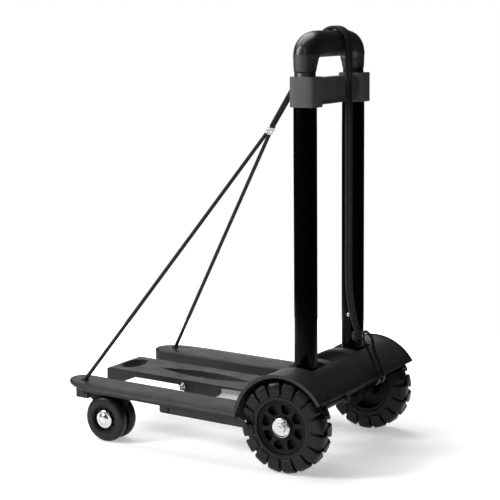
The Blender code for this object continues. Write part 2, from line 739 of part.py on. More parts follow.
def tangents(points):
    """The curve's direction at each point, its two neighbouring runs weighted by their nearness."""
    runs = [b - a for a, b in zip(points, points[1:])]
    found = [runs[0].normalized()]
    for before, after in zip(runs, runs[1:]):
        near, far = before.length, after.length
        found.append((before.normalized() * far + after.normalized() * near) / (near + far))
    return found + [runs[-1].normalized()]


def smooth(points, count):
    """Evenly spaced points on a smooth curve through the route's points."""
    fine = []
    ways = tangents(points)
    for k in range(len(points) - 1):
        a, b = points[k], points[k + 1]
        long = (b - a).length
        for step in range(24):
            t = step / 24
            place_a = a * (2 * t**3 - 3 * t**2 + 1) + ways[k] * long * (t**3 - 2 * t**2 + t)
            place_b = b * (3 * t**2 - 2 * t**3) + ways[k + 1] * long * (t**3 - t**2)
            fine.append(place_a + place_b)
    fine.append(points[-1])
    reach = [0.0]
    for a, b in zip(fine, fine[1:]):
        reach.append(reach[-1] + (b - a).length)
    found = []
    k = 0
    for step in range(count):
        want = reach[-1] * step / (count - 1)
        while k < len(fine) - 2 and reach[k + 1] < want:
            k += 1
        share = (want - reach[k]) / (reach[k + 1] - reach[k])
        found.append(fine[k].lerp(fine[k + 1], min(1.0, share)))
    return found


def cord(name, points, group, mat, radius=CORD_D / 2):
    """A tube along a smooth curve, as a curve object with a round bevel."""
    length = sum((b - a).length for a, b in zip(points, points[1:]))
    route = smooth(points, min(80, max(6, round(length / (3 * radius)))))
    curve = bpy.data.curves.new(name, "CURVE")
    curve.dimensions = "3D"
    curve.bevel_depth = radius
    curve.bevel_resolution = 2
    curve.use_fill_caps = True
    spline = curve.splines.new("POLY")
    spline.points.add(len(route) - 1)
    for knot, point in zip(spline.points, route):
        knot.co = (*(point + Vector((0, AXLE_Y, 0)) - group.location), 1.0)
    obj = bpy.data.objects.new(name, curve)
    obj.data.materials.append(mat)
    obj.parent = group
    bpy.context.collection.objects.link(obj)


def over_radius(turn):
    """From the bar's middle to the cord's, where it lies on the bar's squarish section."""
    bar = GRIP_R / (abs(math.cos(turn)) ** 2.2 + abs(math.sin(turn)) ** 2.2) ** (1 / 2.2)
    return bar + OVER_R - GRIP_R


def over_direction():
    """From the clip to where the cord first touches the grip, seen along X."""
    bar = Vector((0, 0, GRIP_BAR_Z))
    to_bar = Vector((0, bar.y - CLIP.y, bar.z - CLIP.z))
    lean = math.asin(OVER_R / to_bar.length)
    angle = math.atan2(to_bar.z, to_bar.y) + lean
    touch = bar + OVER_R * Vector((0, -math.sin(angle), math.cos(angle)))
    return touch, angle


def front_strand(side):
    """From the hole in a side board up to the clip."""
    x, y = CORD_HOLE
    start = Vector((side * x, y, DECK_TOP - PLATE + 0.0014))
    bend = start + Vector((0, 0, 0.0040))
    end = CLIP + Vector((side * 0.0032, 0, 0))
    run = (end - bend).normalized()
    end -= run * (CLIP_LENGTH / 2 + 0.0006)
    middle = [bend, bend + run * 0.004] + [bend.lerp(end, share) for share in (0.25, 0.5, 0.75)]
    cord(f"bungee_front_{NAMES[side]}", [start] + middle + [end], PLATFORM, CORD_BLACK)


def over_strand(side):
    """From the clip over the grip and down behind it."""
    touch, angle = over_direction()
    x = STRAND_X[0] if side == LEFT else STRAND_X[1]
    start = CLIP + Vector((side * 0.0032, 0, 0))
    touch = Vector((x, touch.y, touch.z))
    run = (touch - start).normalized()
    start += run * (CLIP_LENGTH / 2 + 0.0006)
    points = [start] + [start.lerp(touch, share) for share in (0.35, 0.7)]
    for k in range(13):
        turn = (angle + math.pi / 2) * (1 - k / 12)
        r = over_radius(turn)
        points.append(Vector((x, r * math.cos(turn), GRIP_BAR_Z + r * math.sin(turn))))
    for z in (0.54, 0.48, 0.42, 0.36, SPLIT_Z + GAP):
        points.append(Vector((x, OVER_R, z)))
    cord(f"bungee_over_{NAMES[side]}", points, MAST, CORD_BLACK)


def tail_strand(side):
    """The last stretch, from behind the tubes down into the knot at the hook."""
    x = STRAND_X[0] if side == LEFT else STRAND_X[1]
    end = KNOT + Vector((side * 0.0032, -0.0010, 0.0092))
    points = [
        Vector((x, OVER_R, SPLIT_Z - GAP)),
        Vector((x, OVER_R, 0.260)),
        Vector((x * 0.85 + end.x * 0.15, OVER_R + 0.0010, 0.225)),
        Vector((x * 0.45 + end.x * 0.55, OVER_R + 0.0040, 0.195)),
        end,
    ]
    cord(f"bungee_tail_{NAMES[side]}", points, MAST, CORD_BLACK)


def bungee_clip():
    """A flat oval sleeve crimped around both strands."""
    touch, _ = over_direction()
    run = (Vector((CLIP.x, touch.y, touch.z)) - CLIP).normalized()
    across = Vector((1, 0, 0))
    depth = run.cross(across)
    loops = []
    for share, grow in ((-0.5, 0.85), (-0.38, 1.0), (0.38, 1.0), (0.5, 0.85)):
        centre = CLIP + run * (CLIP_LENGTH * share)
        loops.append(
            [centre + across * u + depth * v for u, v in oval((0, 0), 0.0072 * grow, 0.0042 * grow, 20, 2.6)]
        )
    add("bungee_clip", loft(loops), STEEL, MAST)


def bungee_knot():
    """A lump of wrapped cord that ties both strands to the hook."""
    loops = []
    for rise, radius in ((-0.0080, 0.0045), (-0.0055, 0.0075), (0, 0.0085), (0.0055, 0.0080), (0.0080, 0.0060)):
        loops.append([(x, y, KNOT.z + rise) for x, y in oval((KNOT.x, KNOT.y - 0.001), radius, radius * 0.8, 16, 2)])
    add("bungee_knot", loft(loops), CORD_BLACK, PLATFORM)


def hook_leg(x, top):
    """A leg's route from its top, over the housing's back and round under its lip."""
    route = [top]
    for degrees, radius in HOOK_BEND:
        a = math.radians(degrees)
        route.append(Vector((x, radius * math.cos(a), AXLE_Z + radius * math.sin(a))))
    return route


def bungee_hook():
    """Coated wire bent into a hairpin: two legs that hook under the housing's lip, joined above."""
    near = hook_leg(HOOK_X[0], Vector((HOOK_X[0], 0.0425, 0.1560)))
    far = hook_leg(HOOK_X[1], Vector((HOOK_X[1], 0.0460, 0.1600)))
    arch = [Vector((-0.0265, 0.0395, 0.1665)), Vector((-0.0335, 0.0395, 0.1690))]
    cord("bungee_hook", list(reversed(near)) + arch + far, PLATFORM, WIRE_COAT, WIRE_R)


# The cart ---------------------------------------------------------------------------------------

NAMES = {side: name for name, side in SIDES}
PIN_Y, PIN_Z, PIN_R = -0.226, 0.0715, 0.0025

clear_scene()

BLACK_PAINT = material("black_paint", (0.012, 0.012, 0.013), 0.25)
BLACK_PLASTIC = material("black_plastic", (0.020, 0.020, 0.021), 0.50)
BOARD_PLASTIC = material("board_plastic", (0.028, 0.028, 0.029), 0.50)
GRIP_PLASTIC = material("grip_plastic", (0.020, 0.020, 0.021), 0.30)
CLAMP_PLASTIC = material("clamp_plastic", (0.045, 0.045, 0.047), 0.50)
RIM_PLASTIC = material("rim_plastic", (0.024, 0.024, 0.025), 0.45)
RUBBER = material("tyre_rubber", (0.018, 0.018, 0.019), 0.60)
FRONT_RUBBER = material("front_tyre_rubber", (0.022, 0.022, 0.023), 0.35)
GREY_NYLON = material("grey_nylon", (0.250, 0.250, 0.250), 0.50)
CHROME = material("chrome", (0.700, 0.700, 0.700), 0.20, 1.0)
CHROME_BLACK = material("inner_tube_paint", (0.060, 0.060, 0.062), 0.25)
STEEL = material("zinc_steel", (0.550, 0.550, 0.550), 0.35, 1.0)
ZINC = material("zinc_plate", (0.620, 0.620, 0.620), 0.45, 1.0)
CORD_BLACK = material("bungee_cord", (0.014, 0.014, 0.014), 0.70)
WIRE_COAT = material("hook_coating", (0.012, 0.012, 0.012), 0.20)

MAST = pivot("mast", (0, 0, 0))
PLATFORM = pivot("platform_axis", (0, 0, AXLE_Z))
HANDLE = pivot("handle_slide_axis", (0, 0, TUBE_TOP))

tube_clamp()
rear_axle()
rear_housing()
centre_board()
cross_pin()
grip()
for _, turn_side in SIDES:
    outer_tube(turn_side)
    tube_foot(turn_side)
    rear_cap(turn_side)
    wheel_spacer(turn_side)
    wheel = pivot(f"rear_wheel_axis_{NAMES[turn_side]}", (turn_side * WHEEL_X[0], 0, AXLE_Z))
    rear_tyre(turn_side, wheel)
    rear_rim(turn_side, wheel)
    rear_bush(turn_side, wheel)
    inner_tube(turn_side)
    tube_glide(turn_side)
    snap_button(turn_side)
    snap_spring(turn_side)
    side_board(turn_side)
    deck_bracket(turn_side)
    front_fork(turn_side)
    front_axle(turn_side)
    front_cap(turn_side)
    cord_knot(turn_side)
    front_disc(turn_side, "inner", DISC_X[0])
    front_disc(turn_side, "outer", DISC_X[1])
    front_strand(turn_side)
    over_strand(turn_side)
    tail_strand(turn_side)
bungee_clip()
bungee_knot()
bungee_hook()
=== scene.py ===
"""Looks of the folding luggage cart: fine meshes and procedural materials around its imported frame.

Metres, +Z up. Shapes are drawn with Y from the rear axle, as in the CAD, and moved by AXLE_Y.
"""

from math import acos, asin, atan2, copysign, cos, pi, radians, sin, tan

import bmesh
import bpy
from mathutils import Matrix, Vector


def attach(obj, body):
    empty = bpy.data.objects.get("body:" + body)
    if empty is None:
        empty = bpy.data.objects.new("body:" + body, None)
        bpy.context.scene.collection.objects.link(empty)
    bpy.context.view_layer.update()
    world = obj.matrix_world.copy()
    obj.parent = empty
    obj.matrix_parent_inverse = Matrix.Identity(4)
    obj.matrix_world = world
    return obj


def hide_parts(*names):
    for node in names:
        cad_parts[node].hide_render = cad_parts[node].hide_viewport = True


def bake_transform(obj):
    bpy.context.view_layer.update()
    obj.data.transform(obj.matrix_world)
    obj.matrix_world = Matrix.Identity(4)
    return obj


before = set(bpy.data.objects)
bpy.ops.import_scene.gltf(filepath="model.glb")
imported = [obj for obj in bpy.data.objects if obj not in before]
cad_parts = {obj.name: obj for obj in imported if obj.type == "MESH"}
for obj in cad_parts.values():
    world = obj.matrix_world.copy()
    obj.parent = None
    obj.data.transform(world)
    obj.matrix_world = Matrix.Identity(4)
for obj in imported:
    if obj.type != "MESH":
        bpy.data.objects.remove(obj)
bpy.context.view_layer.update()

WHEEL_R = 0.065
DECK_REACH = 0.38
AXLE_Y = (DECK_REACH - WHEEL_R) / 2
AXLE_Z = WHEEL_R
SHIFT = Vector((0, AXLE_Y, 0))
SIDES = (("left", 1), ("right", -1))

TUBE_X, TUBE_RX, TUBE_RY, TUBE_WALL = 0.0693, 0.0125, 0.0165, 0.0012
TUBE_TOP, TUBE_FOOT_TOP = 0.53, 0.092
BUTTON_Z, BUTTON_R = 0.185, 0.0032
BUTTON_HOLES = (0.185, 0.385, 0.485)
CLAMP_Z, CLAMP_RX, CLAMP_RY, CLAMP_Y = (0.4938, 0.5345), 0.0153, 0.0203, 0.0017
BRIDGE_Y, BRIDGE_Z = (-0.008, 0.01), (0.4955, 0.5315)
GRIP_FOOT, GRIP_UNDER, GRIP_TOP = 0.541, 0.559, 0.595
GRIP_BAR_Z = (GRIP_UNDER + GRIP_TOP) / 2
GRIP_R = (GRIP_TOP - GRIP_UNDER) / 2
GRIP_POST, GRIP_SWEEP, GRIP_CORNER, GRIP_FILLET = 0.0143, 0.046, 0.031, 0.009
GRIP_LINE = GRIP_TOP - GRIP_CORNER - 0.0002
DECK_TOP, PLATE, SKIRT, RIM_DEPTH = 0.08, 0.0035, 0.0025, 0.0062
SIDE_X, SIDE_SKIRT_Z, DROOP = (0.09, 0.15), 0.063, 0.0022
BOARD_REAR, NOSE_START = -0.066, -0.3
NOSE_R, OUTER_SKIRT_X = 0.02, 0.1485
ANCHOR, ANCHOR_Z = 0.0103, 0.055
CENTRE_X, CENTRE_FRONT, NOSE_Z = 0.04, 0.372, 0.0605
SLOT_WALL, SLOT_Z = 0.0018, 0.0695
CORD_HOLE, CORD_HOLE_R = (0.1176, -0.35), 0.0046
HOUSING_R, HOUSING_IN, HOUSING_X = 0.073, 0.07, 0.1424
LIP_ANGLE, FRONT_ANGLE, BEAD = 33.3, 182.0, 0.0015
WINDOW_X, WINDOW_BACK = (0.045, 0.09), 0.02
RIB_X = ((0.0416, 0.0446), (0.0904, 0.0934))
AXLE_R, REAR_AXLE = 0.005, (0, AXLE_Z)
WHEEL_X, LUGS, SPOKES, POCKET_TURN = (0.107, 0.1405), 16, 8, 33.0
HEAD_TURN = 0.3
FRONT_R, FRONT_Y = 0.034, -0.3
FRONT_AXLE = (FRONT_Y, FRONT_R)
FORK_X = (0.1194, 0.1256)
DISC_X = {"inner": (0.1035, 0.119), "outer": (0.126, 0.1415)}
HUB_SLOTS = 10
FRONT_AXLE_R = 0.0035
PIN_Y, PIN_Z, PIN_R = -0.226, 0.0715, 0.0025
CORD_D = 0.0055
STRAND_X = {1: -0.011, -1: -0.021}
STRAND_HALF, CLIP_GAP = 0.0032, 0.0006
SPLIT_Z = 0.3
CLIP, CLIP_LENGTH = Vector((-0.011, -0.103, 0.4537)), 0.012
OVER_R = GRIP_R + CORD_D / 2 + 0.0005
KNOT = Vector((-0.026, 0.03, 0.164))
HOOK_X, WIRE_R = (-0.023, -0.039), 0.0021
HOOK_BEND = ((58, 0.0935), (47, 0.084), (39, 0.0795), (34, 0.0783),
             (30.2, 0.0764), (28.2, 0.073), (27.6, 0.069))


# ---- Materials ----


class Graph:
    """Short calls to build a material's nodes."""

    def __init__(self, name):
        self.mat = bpy.data.materials.new(name)
        self.mat.use_nodes = True
        self.nodes = self.mat.node_tree.nodes
        self.links = self.mat.node_tree.links
        self.shader = self.nodes["Principled BSDF"]
        self.place = self.nodes.new("ShaderNodeTexCoord").outputs["Object"]

    def feed(self, socket, value):
        if isinstance(value, bpy.types.NodeSocket):
            self.links.new(value, socket)
        else:
            socket.default_value = value

    def node(self, kind, **inputs):
        """A new node with some of its inputs set or linked; an underscore stands for a space."""
        made = self.nodes.new(f"ShaderNode{kind}")
        for name, value in inputs.items():
            self.feed(made.inputs[name.replace("_", " ")], value)
        return made

    def stretched(self, scale):
        return self.node("Mapping", Scale=scale, Vector=self.place).outputs["Vector"]

    def noise(self, scale, detail=3.0, rough=0.55, vector=None):
        vector = vector or self.place
        made = self.node("TexNoise", Scale=scale, Detail=detail, Roughness=rough, Vector=vector)
        return made.outputs["Fac"]

    def cells(self, scale):
        return self.node("TexVoronoi", Scale=scale, Vector=self.place).outputs["Distance"]

    def maths(self, operation, a, b=0.0, clamp=False):
        node = self.nodes.new("ShaderNodeMath")
        node.operation = operation
        node.use_clamp = clamp
        self.feed(node.inputs[0], a)
        self.feed(node.inputs[1], b)
        return node.outputs[0]

    def span(self, value, low, high, to_low=0.0, to_high=1.0):
        """The value's range low to high, stretched to another and held at its ends."""
        ends = {"From_Min": low, "From_Max": high, "To_Min": to_low, "To_Max": to_high}
        return self.node("MapRange", Value=value, **ends).outputs["Result"]

    def blend(self, factor, a, b):
        node = self.nodes.new("ShaderNodeMix")
        node.data_type = "RGBA"
        self.feed(node.inputs["Factor"], factor)
        for name, colour in (("A", a), ("B", b)):
            socket = [s for s in node.inputs if s.name == name and s.type == "RGBA"][0]
            self.feed(socket, colour if isinstance(colour, bpy.types.NodeSocket) else (*colour, 1.0))
        return [s for s in node.outputs if s.type == "RGBA"][0]

    def cover(self, below, above, mask, share):
        """One colour over another where the mask says, as strongly as share."""
        return self.blend(self.maths("MULTIPLY", mask, share), below, above)

    def bump(self, height, distance, strength=1.0, below=None):
        made = self.node("Bump", Strength=strength, Distance=distance, Height=height)
        if below is not None:
            self.links.new(below, made.inputs["Normal"])
        return made.outputs["Normal"]

    def height(self, vector):
        return self.node("SeparateXYZ", Vector=vector).outputs["Z"]

    def edges(self, low=0.52, high=0.6):
        """1 on convex edges, broken up by noise, where handling rubs a surface."""
        rubbed = self.span(self.node("NewGeometry").outputs["Pointiness"], low, high)
        patchy = self.span(self.noise(120, 4), 0.35, 0.65)
        return self.maths("MULTIPLY", rubbed, patchy)

    def upward(self):
        """1 on faces that look up, 0 on walls and undersides."""
        return self.span(self.height(self.node("NewGeometry").outputs["Normal"]), 0.35, 0.95)

    def finish(self, colour, rough, normal=None, metallic=0.0, specular=0.5):
        self.feed(self.shader.inputs["Base Color"], colour)
        self.feed(self.shader.inputs["Roughness"], rough)
        self.shader.inputs["Metallic"].default_value = metallic
        self.shader.inputs["Specular IOR Level"].default_value = specular
        if normal is not None:
            self.links.new(normal, self.shader.inputs["Normal"])
        return self.mat


def grey(level, warm=0.0):
    return (level * (1 + warm), level, level * (1 - warm))


def plastic(name, tone, rough, grain=1500.0, depth=0.00006, dust=0.35, specular=0.5, matte_below=None):
    """Moulded plastic with a fine spark texture, rubbed edges and a trace of dust on its upper faces.

    Below the height matte_below, where one is given, it is paler and matte.
    """
    g = Graph(name)
    cloud = g.noise(14, 4)
    colour = g.blend(g.span(cloud, 0.3, 0.7), grey(tone * 0.86), grey(tone * 1.14))
    specks = g.span(g.cells(420), 0.02, 0.1, 1.0, 0.0)
    dusty = g.maths("MULTIPLY", g.upward(), g.maths("MULTIPLY", specks, dust))
    colour = g.blend(dusty, colour, grey(tone * 3 + 0.01, 0.03))
    colour = g.cover(colour, grey(tone * 2.2 + 0.006), g.edges(), 0.35)
    marks = g.noise(1.0, 3, 0.6, g.stretched((900, 60, 900)))
    smooth_spot = g.span(g.noise(40, 5), 0.3, 0.7, rough - 0.06, rough + 0.07)
    roughness = g.maths("ADD", smooth_spot, g.span(marks, 0.6, 0.75, 0.0, -0.08), clamp=True)
    if matte_below is not None:
        low = g.span(g.height(g.place), matte_below - 0.0001, matte_below + 0.0001, 1.0, 0.0)
        colour = g.blend(low, colour, grey(tone * 2))
        roughness = g.maths("ADD", roughness, g.maths("MULTIPLY", low, 0.2), clamp=True)
    normal = g.bump(g.noise(grain, 2, 0.6), depth)
    normal = g.bump(g.noise(34, 2), 0.0004, 0.35, normal)
    return g.finish(colour, roughness, normal, specular=specular)


def enamel(name, tone, rough, specular):
    """Gloss paint on a drawn steel tube: orange peel, fine lengthwise scratches and a few chips."""
    g = Graph(name)
    scratch = g.noise(1.0, 4, 0.7, g.stretched((2600, 2600, 28)))
    thin = g.span(scratch, 0.62, 0.72)
    colour = g.cover(grey(tone), grey(tone * 4 + 0.006), thin, 0.5)
    chips = g.span(g.cells(160), 0.03, 0.05, 1.0, 0.0)
    colour = g.cover(colour, grey(0.2), chips, g.edges(0.53, 0.58))
    handled = g.span(g.noise(22, 4), 0.35, 0.7, rough, rough + 0.1)
    roughness = g.maths("ADD", handled, g.maths("MULTIPLY", thin, 0.12))
    normal = g.bump(g.noise(420, 2), 0.00004, 0.5)
    normal = g.bump(scratch, 0.00001, 0.6, normal)
    return g.finish(colour, roughness, normal, specular=specular)


def rubber(name, tone, rough, grain=900.0, depth=0.00009):
    """Moulded rubber, a little chalky on the lugs and dusty in patches."""
    g = Graph(name)
    cloud = g.span(g.noise(26, 5), 0.3, 0.7)
    colour = g.blend(cloud, grey(tone * 0.8, 0.02), grey(tone * 1.25, 0.02))
    colour = g.cover(colour, grey(tone * 2.4 + 0.004, 0.03), g.edges(0.505, 0.56), 0.45)
    colour = g.cover(colour, grey(tone * 3, 0.06), g.span(g.noise(9, 3), 0.5, 0.75), 0.25)
    roughness = g.span(g.noise(60, 4), 0.3, 0.7, rough - 0.08, rough + 0.08)
    normal = g.bump(g.noise(grain, 3, 0.65), depth)
    return g.finish(colour, roughness, normal, specular=0.22)


def metal(name, tone, rough, warm=0.0, spangle=0.0, lines=(600, 600, 600)):
    """Plated or turned metal with fine tool marks, smears and, where asked, zinc spangle."""
    g = Graph(name)
    marks = g.noise(1.0, 4, 0.65, g.stretched(lines))
    smear = g.noise(60, 4)
    colour = g.blend(g.span(smear, 0.3, 0.7), grey(tone * 0.86, warm), grey(tone, warm))
    if spangle:
        colour = g.cover(colour, grey(tone * 0.7, warm), g.span(g.cells(260), 0.1, 0.6), spangle)
    smeared = g.span(smear, 0.3, 0.75, rough * 0.8, rough * 1.5)
    roughness = g.maths("ADD", smeared, g.span(marks, 0.5, 0.8, 0, 0.1))
    normal = g.bump(marks, 0.00002, 0.5)
    return g.finish(colour, roughness, normal, metallic=1.0)


def braid(name, tone):
    """A woven sleeve over elastic: two helical families of threads that pass over and under."""
    g = Graph(name)
    split = g.node("SeparateXYZ", Vector=g.node("TexCoord").outputs["UV"])
    turns = g.maths("MULTIPLY", split.outputs["X"], 8.0)
    rows = g.maths("MULTIPLY", split.outputs["Y"], 5.0)

    def wave(phase):
        return g.maths("SINE", g.maths("MULTIPLY", phase, 2 * pi))

    right_hand = g.span(wave(g.maths("ADD", turns, rows)), -1.0, 1.0)
    left_hand = g.span(wave(g.maths("SUBTRACT", turns, rows)), -1.0, 1.0)
    over = g.maths("MULTIPLY", g.maths("GREATER_THAN", wave(rows), 0.0), 0.6)
    weave = g.maths(
        "ADD",
        g.maths("MULTIPLY", right_hand, g.maths("ADD", over, 0.4)),
        g.maths("MULTIPLY", left_hand, g.maths("SUBTRACT", 1.0, over)),
    )
    fibre = g.noise(2600, 3, 0.7)
    # Colour follows the weave's height: darker where the threads lie low, which is painted shade between and
    # under them, times a fibre tone that varies at random.
    weave_shade_and_fibre = g.maths("MULTIPLY", g.span(weave, 0.2, 1.4), g.span(fibre, 0.2, 0.8, 0.6, 1.0))
    colour = g.blend(weave_shade_and_fibre, grey(tone * 0.35), grey(tone * 1.5))
    normal = g.bump(weave, 0.0003, 0.8)
    normal = g.bump(fibre, 0.00008, 0.6, normal)
    g.shader.inputs["Sheen Weight"].default_value = 0.06
    g.shader.inputs["Sheen Roughness"].default_value = 0.4
    return g.finish(colour, g.span(fibre, 0.2, 0.8, 0.55, 0.85), normal, specular=0.3)


PAINT = enamel("tube_enamel", 0.0012, 0.13, 0.05)
INNER_PAINT = enamel("inner_tube_enamel", 0.025, 0.22, 0.3)
CLAMP_PLASTIC = plastic("clamp_plastic", 0.11, 0.42, 1300, 0.00005, specular=0.2)
GRIP_PLASTIC = plastic("grip_plastic", 0.022, 0.28, 900, 0.00002, 0.2, 0.5, GRIP_LINE)
HOUSING_PLASTIC = plastic("housing_plastic", 0.02, 0.5, 1100, 0.0001, specular=0.3)
BOARD_PLASTIC = plastic("board_plastic", 0.009, 0.46, 1400, 0.00008, specular=0.3)
PART_PLASTIC = plastic("small_part_plastic", 0.005, 0.45, specular=0.12)
RIM_PLASTIC = plastic("rim_plastic", 0.005, 0.4, 1500, 0.00004, 0.1, 0.14)
NYLON = plastic("nylon", 0.25, 0.45, 900, 0.00003, 0.1)
TYRE = rubber("tyre_rubber", 0.005, 0.36)
FRONT_TYRE = rubber("front_tyre_rubber", 0.006, 0.32, 700, 0.00003)
CHROME = metal("bright_plate", 0.6, 0.16, 0.0, 0.0, (300, 900, 900))
BLACK_STEEL = metal("blackened_steel", 0.05, 0.35, 0.0, 0.0, (900, 60, 60))
STEEL = metal("turned_steel", 0.62, 0.26, 0.0, 0.0, (900, 60, 60))
ZINC = metal("zinc_plate", 0.36, 0.45, 0.01, 0.5)
ALUMINIUM = metal("clip_aluminium", 0.8, 0.28, 0.0, 0.0, (200, 1200, 1200))
SLEEVE = braid("bungee_sleeve", 0.024)
COATING = plastic("hook_coating", 0.008, 0.16, 500, 0.00001, 0.1)


# ---- Shapes ----


def loft(loops, around=False):
    """A closed body through equal loops of points, its ends capped, or joined where it goes around."""
    shape = bmesh.new()
    rings = [[shape.verts.new(point) for point in loop] for loop in loops]
    pairs = list(zip(rings, rings[1:]))
    if around:
        pairs.append((rings[-1], rings[0]))
    for lower, upper in pairs:
        for k in range(len(lower)):
            n = (k + 1) % len(lower)
            shape.faces.new((lower[k], lower[n], upper[n], upper[k]))
    if not around:
        shape.faces.new(rings[0])
        shape.faces.new(rings[-1])
    return shape


def place(axis, u, v, along):
    return {"X": (along, u, v), "Y": (u, along, v), "Z": (u, v, along)}[axis]


def prism(outline, axis, ends):
    return loft([[place(axis, u, v, end) for u, v in outline] for end in ends])


def box(xs, ys, zs):
    return prism([(xs[0], ys[0]), (xs[1], ys[0]), (xs[1], ys[1]), (xs[0], ys[1])], "Z", zs)


def arc(centre, radius, start, stop, steps):
    angles = [radians(start + (stop - start) * k / steps) for k in range(steps + 1)]
    rx, ry = radius if isinstance(radius, tuple) else (radius, radius)
    return [(centre[0] + rx * cos(a), centre[1] + ry * sin(a)) for a in angles]


def circle(centre, radius, steps):
    return arc(centre, radius, 0, 360, steps)[:-1]


def squared(value, power):
    return copysign(abs(value) ** power, value)


def oval(centre, rx, ry, steps=72, power=2.3):
    points = []
    for k in range(steps):
        a = 2 * pi * k / steps
        c, s = squared(cos(a), 2 / power), squared(sin(a), 2 / power)
        points.append((centre[0] + rx * c, centre[1] + ry * s))
    return points


def rod(axis, centre, radius, ends, steps=48):
    return prism(circle(centre, radius, steps), axis, ends)


def shifted(start, profile):
    return [(start + x, r) for x, r in profile]


def turned(side, profile, centre, steps):
    """A body turned from a profile of X and radius, on the side's half of the cart."""
    return loft([[(side * x, u, v) for u, v in circle(centre, r, steps)] for x, r in profile])


def turned_ring(side, profile, centre, steps):
    """The same around a bore: the profile is closed and doesn't reach the middle."""
    loops = []
    for k in range(steps):
        a = 2 * pi * k / steps
        c, s = cos(a), sin(a)
        loops.append([(side * x, centre[0] + r * c, centre[1] + r * s) for x, r in profile])
    return loft(loops, around=True)


def sleeve_profile(ends, bore, radius):
    return [(ends[0], bore), (ends[0], radius), (ends[1], radius), (ends[1], bore)]


def mirrored(side, xs):
    return tuple(sorted(side * x for x in xs))


def crosswise(side, outline, low, high):
    """A prism along X, on the side's half of the cart."""
    return prism(outline, "X", mirrored(side, (low, high)))


def pockets(centre, count, first, corners, radius, steps, ends):
    """Cutters around a wheel's middle, their corners given by radius and angle from each one's middle."""
    cuts = []
    for k in range(count):
        outline = []
        for r, turn in corners:
            a = radians(360 * k / count + first + turn)
            outline.append((centre[0] + r * cos(a), centre[1] + r * sin(a)))
        cuts.append(prism(rounded(outline, radius, steps), "X", ends))
    return cuts


def rounded(corners, radius, steps=5):
    """An outline with its corners rounded."""
    points = []
    count = len(corners)
    for k in range(count):
        here = Vector(corners[k])
        before = (Vector(corners[k - 1]) - here).normalized()
        after = (Vector(corners[(k + 1) % count]) - here).normalized()
        half = acos(max(-1.0, min(1.0, before.dot(after)))) / 2
        reach = radius / tan(half)
        start, stop = here + before * reach, here + after * reach
        for step in range(steps + 1):
            t = step / steps
            points.append(tuple(start * (1 - t) ** 2 + here * 2 * t * (1 - t) + stop * t**2))
    return points


def solid(name, shape, clean=True):
    """An object of a bmesh drawn with Y from the rear axle."""
    if clean:
        bmesh.ops.remove_doubles(shape, verts=shape.verts, dist=1e-7)
        bmesh.ops.recalc_face_normals(shape, faces=shape.faces)
    mesh = bpy.data.meshes.new(name)
    shape.to_mesh(mesh)
    shape.free()
    mesh.transform(Matrix.Translation(SHIFT))
    mesh.shade_smooth()
    obj = bpy.data.objects.new(name, mesh)
    bpy.context.collection.objects.link(obj)
    return obj


def carve(obj, joins=(), cuts=()):
    """Join and cut shapes, and leave the result as the object's plain mesh."""
    helpers = []
    for operation, shapes in (("UNION", joins), ("DIFFERENCE", cuts)):
        for shape in shapes:
            helper = solid("helper", shape)
            step = obj.modifiers.new("step", "BOOLEAN")
            step.operation = operation
            step.solver = "EXACT"
            step.object = helper
            helpers.append(helper)
    bpy.context.view_layer.update()
    result = bpy.data.meshes.new_from_object(obj.evaluated_get(bpy.context.evaluated_depsgraph_get()))
    obj.modifiers.clear()
    obj.data = result
    result.shade_smooth()
    for helper in helpers:
        bpy.data.objects.remove(helper)
    return obj


def soften(obj, width, segments=3, angle=35):
    """Round the edges and keep the flat faces flat in the shading."""
    edge = obj.modifiers.new("edge", "BEVEL")
    edge.width = width
    edge.segments = segments
    edge.limit_method = "ANGLE"
    edge.angle_limit = radians(angle)
    edge.miter_outer = "MITER_ARC"
    weight = obj.modifiers.new("normals", "WEIGHTED_NORMAL")
    weight.keep_sharp = False
    return obj


def show(obj, mat, body, slot, *nodes):
    """Finish a piece: its material, the body it rides on and the CAD nodes it stands for; its slot is not
    used.
    """
    obj.data.materials.clear()
    obj.data.materials.append(mat)
    if body:
        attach(obj, body)
    if nodes:
        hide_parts(*nodes)
    return obj


# ---- Camera, light and floor ----


VIEW_ANGLES, LENS = (31.814, 9.5585, -0.5785), 103.16
VIEW_BACK, VIEW_LEFT, VIEW_UP = 2.0655, 0.1154, 0.2847
FLOOR_R = 0.8


def camera():
    yaw, pitch, roll = (radians(a) for a in VIEW_ANGLES)
    back = Vector((cos(yaw) * cos(pitch), sin(yaw) * cos(pitch), sin(pitch)))
    right = Vector((-sin(yaw), cos(yaw), 0))
    up = back.cross(right)
    right, up = right * cos(roll) + up * sin(roll), up * cos(roll) - right * sin(roll)
    data = bpy.data.cameras.new("camera")
    data.sensor_width = 36.0
    data.lens = LENS
    data.clip_start = 0.05
    view = bpy.data.objects.new("camera", data)
    spot = back * VIEW_BACK - right * VIEW_LEFT + up * VIEW_UP + SHIFT
    view.matrix_world = Matrix.Translation(spot) @ Matrix((right, up, back)).transposed().to_4x4()
    bpy.context.collection.objects.link(view)
    bpy.context.scene.camera = view


def softbox(name, where, aim, size, power):
    data = bpy.data.lights.new(name, "AREA")
    data.shape = "RECTANGLE"
    data.size, data.size_y = size
    data.energy = power
    light = bpy.data.objects.new(name, data)
    light.location = where
    light.rotation_euler = (Vector(aim) - Vector(where)).to_track_quat("-Z", "Y").to_euler()
    bpy.context.collection.objects.link(light)


